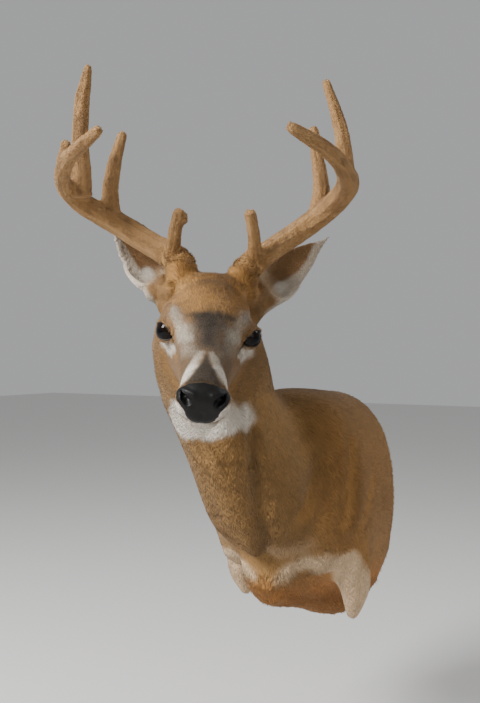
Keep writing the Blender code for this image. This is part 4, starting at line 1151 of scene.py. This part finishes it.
def glass_eye_finish(name, side):
    """Brown iris and level black pupil, placed from the ball's middle and gaze."""
    material, tree, shader, place = start_material(name)
    _, noseward, up = (HEAD_AXES @ axis for axis in eye_axes(side))

    def vector_math(operation, *inputs):
        return add_node(tree, "ShaderNodeVectorMath", *inputs, operation=operation).outputs

    offset = vector_math("SUBTRACT", place, to_world(eye_middle(side)))["Vector"]
    across, upward = (vector_math("DOT_PRODUCT", offset, axis)["Value"] for axis in (noseward, up))
    flat = add_node(tree, "ShaderNodeCombineXYZ", X=across, Y=upward)
    squeezed = vector_math("MULTIPLY", flat.outputs["Vector"], (1.0, PUPIL_STRETCH, 0.0))["Vector"]
    threads = fine_grain(tree, place, 1500.0, 3.0)
    iris_dark, iris_pale = ([gain * value for value in IRIS_BROWN] for gain in (0.45, 1.7))
    iris = two_tones(tree, threads["Height"], iris_dark, iris_pale)
    edge = add_node(tree, "ShaderNodeMapRange", vector_math("LENGTH", squeezed)["Value"], *PUPIL_EDGE)
    colour = tree.nodes.new("ShaderNodeMix")
    colour.data_type = "RGBA"
    tree.links.new(edge.outputs["Result"], colour.inputs["Factor"])
    from_pupil, to_iris = (socket for socket in colour.inputs if socket.type == "RGBA")
    from_pupil.default_value = (*PUPIL_BLACK, 1.0)
    tree.links.new(iris, to_iris)
    blended = next(socket for socket in colour.outputs if socket.type == "RGBA")
    tree.links.new(blended, shader.inputs["Base Color"])
    shader.inputs["Roughness"].default_value = 0.06
    shader.inputs["Coat Weight"].default_value = 0.5
    shader.inputs["Coat Roughness"].default_value = 0.01
    shader.inputs["Coat IOR"].default_value = 1.34
    shader.inputs["Specular IOR Level"].default_value = 0.0
    return material


def lid_rim(name, side):
    """A round bead of skin along the almond edge of the lids."""
    turns = np.linspace(-LID_BACK, LID_FRONT, 25)
    lower, upper, _ = lid_heights(turns)
    around = list(zip(turns, upper)) + list(zip(turns[::-1][1:-1], lower[::-1][1:-1]))
    gaze, noseward, up = eye_axes(side)
    line = bpy.data.curves.new(name, "CURVE")
    line.dimensions = "3D"
    line.bevel_depth = LID_RIM_RADIUS
    line.bevel_resolution = 3
    spline = line.splines.new("POLY")
    spline.points.add(len(around) - 1)
    spline.use_cyclic_u = True
    for point, (turn, rise) in zip(spline.points, around):
        way = math.cos(rise) * (math.cos(turn) * gaze + math.sin(turn) * noseward) + math.sin(rise) * up
        point.co = (*to_world(eye_middle(side) + way * (EYE_BALL_RADIUS + 0.0006)), 1.0)
    guide = place_mesh(name + "_line", line)
    mesh = bpy.data.meshes.new_from_object(guide.evaluated_get(bpy.context.evaluated_depsgraph_get()))
    bpy.data.objects.remove(guide)
    mesh.shade_smooth()
    return place_mesh(name, mesh)


lid_skin, tree, shader, place = start_material("lid_skin")
creases = fine_grain(tree, place, 1100.0, 2.0, strength=0.5, distance=0.0003)
tone = two_tones(tree, creases["Height"], LID_BLACK, [2.2 * value for value in LID_BLACK])
tree.links.new(tone, shader.inputs["Base Color"])
tree.links.new(creases["Normal"], shader.inputs["Normal"])
shader.inputs["Roughness"].default_value = 0.5
shader.inputs["Specular IOR Level"].default_value = 0.25

for side, side_name in SIDES:
    bm = bmesh.new()
    bmesh.ops.create_uvsphere(bm, u_segments=48, v_segments=32, radius=EYE_BALL_RADIUS)
    for vertex in bm.verts:
        vertex.co.z += CORNEA_BULGE * max(0.0, vertex.co.z / EYE_BALL_RADIUS - 0.6) / 0.4
    gaze, noseward, up = eye_axes(side)
    turn = Matrix.Identity(4)
    for column, axis in enumerate((noseward, up, gaze)):
        for row in range(3):
            turn[row][column] = axis[row]
    bmesh.ops.transform(bm, matrix=HEAD @ Matrix.Translation(eye_middle(side)) @ turn, verts=bm.verts)
    bmesh.ops.recalc_face_normals(bm, faces=bm.faces)
    ball = place_mesh("glass_eye_" + side_name, bpy.data.meshes.new("glass_eye_" + side_name))
    bm.to_mesh(ball.data)
    bm.free()
    ball.data.shade_smooth()
    ball.data.materials.append(glass_eye_finish("glass_eye_" + side_name, side))
    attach(ball, "root")
    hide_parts("eye_" + side_name)
    rim = lid_rim("lid_rim_" + side_name, side)
    rim.data.materials.append(lid_skin)
    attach(rim, "root")


# Antlers
# Bone still in velvet: each side is one branching skin with long grooves for the blood vessels,
# bead-like swellings at the foot, and a close pile of short hairs.
VELVET_GRAIN = 0.0019
VELVET_SWELL = 0.0006
VELVET_DEPTH = 0.0012           # how far the skin lies inside the outline
# painted shade: the velvet skin under the pile is this much darker than the pile
VELVET_PAINTED_SHADE = 0.95
ROSETTE_PLACE = (-0.092, 0.042, 0.034)
ROSETTE_RADIUS = 0.0155
VELVET_TAN = (0.325, 0.178, 0.066)
VELVET_DARK = (0.155, 0.08, 0.03)
VELVET_PALE = (0.42, 0.255, 0.11)
PILE_PER_AREA = 0.42e6
# painted shade makes each hair of the pile darker at its root; it is paler at its tip
PILE_ROOT_PAINTED_SHADE, PILE_TIP_GAIN = 0.94, 1.08
WAY_EVERY = 24                  # the branch's run is worked out at one point in so many
WAY_REACH = 0.022               # from the surface this far round it
STREAK_SPREAD = 0.03            # how finely the streaks lie round a branch
STREAK_DRIFT = 0.16             # and how soon they wander off along it


def tree_of(points):
    tree = KDTree(len(points))
    for index, point in enumerate(points):
        tree.insert(point, index)
    tree.balance()
    return tree


def branch_ways(mesh):
    """The run of the branch at points of an antler: the way across which the surface never turns."""
    points = points_of(mesh)
    normals = normals_of(mesh)
    picked = np.arange(0, len(points), WAY_EVERY)
    tree = tree_of(points)
    ways = []
    for index in picked:
        near = [entry[1] for entry in tree.find_range(points[index], WAY_REACH)]
        spread = normals[near].T @ normals[near]
        way = np.linalg.eigh(spread)[1][:, 0]
        away = points[index] - points[near].mean(axis=0)
        onward = way @ (HEAD_AXES @ np.array((-0.1, 0.0, 1.0))) + 4 * (away @ way)
        ways.append(way if onward > 0 else -way)
    return points[picked], np.array(ways)


def nearest_ways(places, ways, points):
    tree = tree_of(places)
    return np.array([ways[tree.find(point)[1]] for point in points])


def streaks(points, normals, size, seed):
    """Streaks that run along a branch, as its surface keeps facing the same way there."""
    return mottle(normals * STREAK_SPREAD + points * STREAK_DRIFT, size, seed)


def velvet_colours(points, normals, foot):
    """Tan velvet with pale streaks and dark veins, running into the rust coat at the foot."""
    tone = 0.7 * streaks(points, normals, 0.013, 31) + 0.5 * mottle(points, 0.016, 32)
    colours = np.array(VELVET_TAN) * np.ones((len(points), 1))
    veins = ramp(np.abs(streaks(points, normals, 0.018, 37)), 0.1, 0.03)
    for weight, colour in ((ramp(tone, -0.05, -0.55) * 0.5, VELVET_DARK),
                           (ramp(tone, 0.1, 0.6) * 0.6, VELVET_PALE),
                           (veins * 0.6, VELVET_DARK), (0.5 * foot, RUST)):
        colours += (np.array(colour) - colours) * weight[:, None]
    return colours


velvet, tree, shader, place = start_material("velvet_pile")
nap = fine_grain(tree, place, 1300.0, 3.0, strength=0.7, distance=0.0006)
tree.links.new(read_attribute(tree, "coat")["Color"], shader.inputs["Base Color"])
tree.links.new(nap["Normal"], shader.inputs["Normal"])
shader.inputs["Roughness"].default_value = 0.9
shader.inputs["Sheen Weight"].default_value = 0.16
shader.inputs["Sheen Roughness"].default_value = 0.5
shader.inputs["Sheen Tint"].default_value = (1.0, 0.8, 0.56, 1.0)

for side, side_name in SIDES:
    nodes = sorted(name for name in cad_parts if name.startswith("antler_" + side_name))
    foot_round = bmesh.new()
    bmesh.ops.create_uvsphere(foot_round, u_segments=24, v_segments=16, radius=ROSETTE_RADIUS,
                              matrix=HEAD @ Matrix.Translation(on_side([ROSETTE_PLACE], side)[0]))
    antler = melted("velvet_" + side_name, nodes, VELVET_SWELL, VELVET_GRAIN, foot_round)
    soften(antler.data, np.full(len(antler.data.vertices), 0.5), 10)
    places, ways = branch_ways(antler.data)
    points = points_of(antler.data)
    foot = ramp(from_spot(points, to_world(pedicle(side))), 0.075, 0.03)
    relief = 0.0011 * streaks(points, normals_of(antler.data), 0.012, 33) + 0.0004 * mottle(points, 0.012, 34)
    relief += foot * 0.0009 * mottle(points, 0.008, 35)
    points += normals_of(antler.data) * (relief - VELVET_DEPTH)[:, None]
    put_points(antler.data, points)
    finish_skin(antler)
    colours = velvet_colours(points_of(antler.data), normals_of(antler.data), foot)
    give_colours(antler.data, colours * VELVET_PAINTED_SHADE)
    antler.data.materials.append(velvet)
    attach(antler, "root")
    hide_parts(*nodes)

    rng = np.random.default_rng(COAT_SEED + int(side))
    roots, normals, uvs = strew(antler.data, lambda middles, _: np.full(len(middles), PILE_PER_AREA), rng)
    foot = ramp(from_spot(roots, to_world(pedicle(side))), 0.07, 0.025)
    chance = rng.random((len(roots), 4))
    swirl = np.column_stack([mottle(roots, 0.01, 36 + axis) for axis in range(3)])
    run = unit(nearest_ways(places, ways, roots) + 0.5 * swirl + 0.5 * (rng.random(roots.shape) - 0.5))
    length = (0.003 + 0.0022 * chance[:, 0]) * (1 + 1.1 * foot)
    width = 0.0005 + 0.0003 * chance[:, 1] + 0.0002 * foot
    lift = 0.1 + 0.16 * chance[:, 2] + 0.25 * foot
    colours = velvet_colours(roots, normals, foot) * (0.92 + 0.2 * chance[:, 3])[:, None]
    hairs = grow("pile_" + side_name, roots, normals, uvs, along_skin(run, normals), length, width, lift,
                 colours, np.full(len(roots), PILE_TIP_GAIN), PILE_ROOT_PAINTED_SHADE)
    hairs.data.materials.append(velvet)
    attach(hairs, "root")


# Board and hanger
# A plywood back cut to the hide's outline, with a zinc-plated bar let in over a routed pocket for
# the wall hook, held by two countersunk screws.
WOOD_DARK = (0.36, 0.215, 0.105)
WOOD_PALE = (0.61, 0.44, 0.26)
ZINC_DARK = (0.5, 0.51, 0.53)
ZINC_PALE = (0.68, 0.68, 0.66)
GRAIN_STRETCH = 0.08            # the grain runs up the board, drawn out by this

plywood, tree, shader, place = start_material("plywood")
drawn = add_node(tree, "ShaderNodeMapping", Vector=place, Scale=(1.0, 1.0, GRAIN_STRETCH)).outputs["Vector"]
grain = fine_grain(tree, drawn, 160.0, 6.0, strength=0.25, distance=0.0005)
figure = fine_grain(tree, drawn, 26.0, 2.0)
mixed = add_node(tree, "ShaderNodeMath", grain["Height"], figure["Height"], operation="ADD")
tone = add_node(tree, "ShaderNodeMapRange", Value=mixed.outputs["Value"], From_Min=0.7, From_Max=1.3)
wood = two_tones(tree, tone.outputs["Result"], WOOD_DARK, WOOD_PALE)
tree.links.new(wood, shader.inputs["Base Color"])
tree.links.new(grain["Normal"], shader.inputs["Normal"])
shader.inputs["Roughness"].default_value = 0.7

zinc, tree, shader, place = start_material("zinc_plate")
spangle = fine_grain(tree, place, 420.0, 3.0)
dulling = add_node(tree, "ShaderNodeMapRange", Value=spangle["Height"], To_Min=0.24, To_Max=0.48)
tree.links.new(two_tones(tree, spangle["Height"], ZINC_DARK, ZINC_PALE), shader.inputs["Base Color"])
tree.links.new(dulling.outputs["Result"], shader.inputs["Roughness"])
shader.inputs["Metallic"].default_value = 1.0

for name, finish in (("backboard", plywood), ("hanger_bar", zinc),
                     ("hanger_screw_left", zinc), ("hanger_screw_right", zinc)):
    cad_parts[name].data.materials.clear()
    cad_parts[name].data.materials.append(finish)
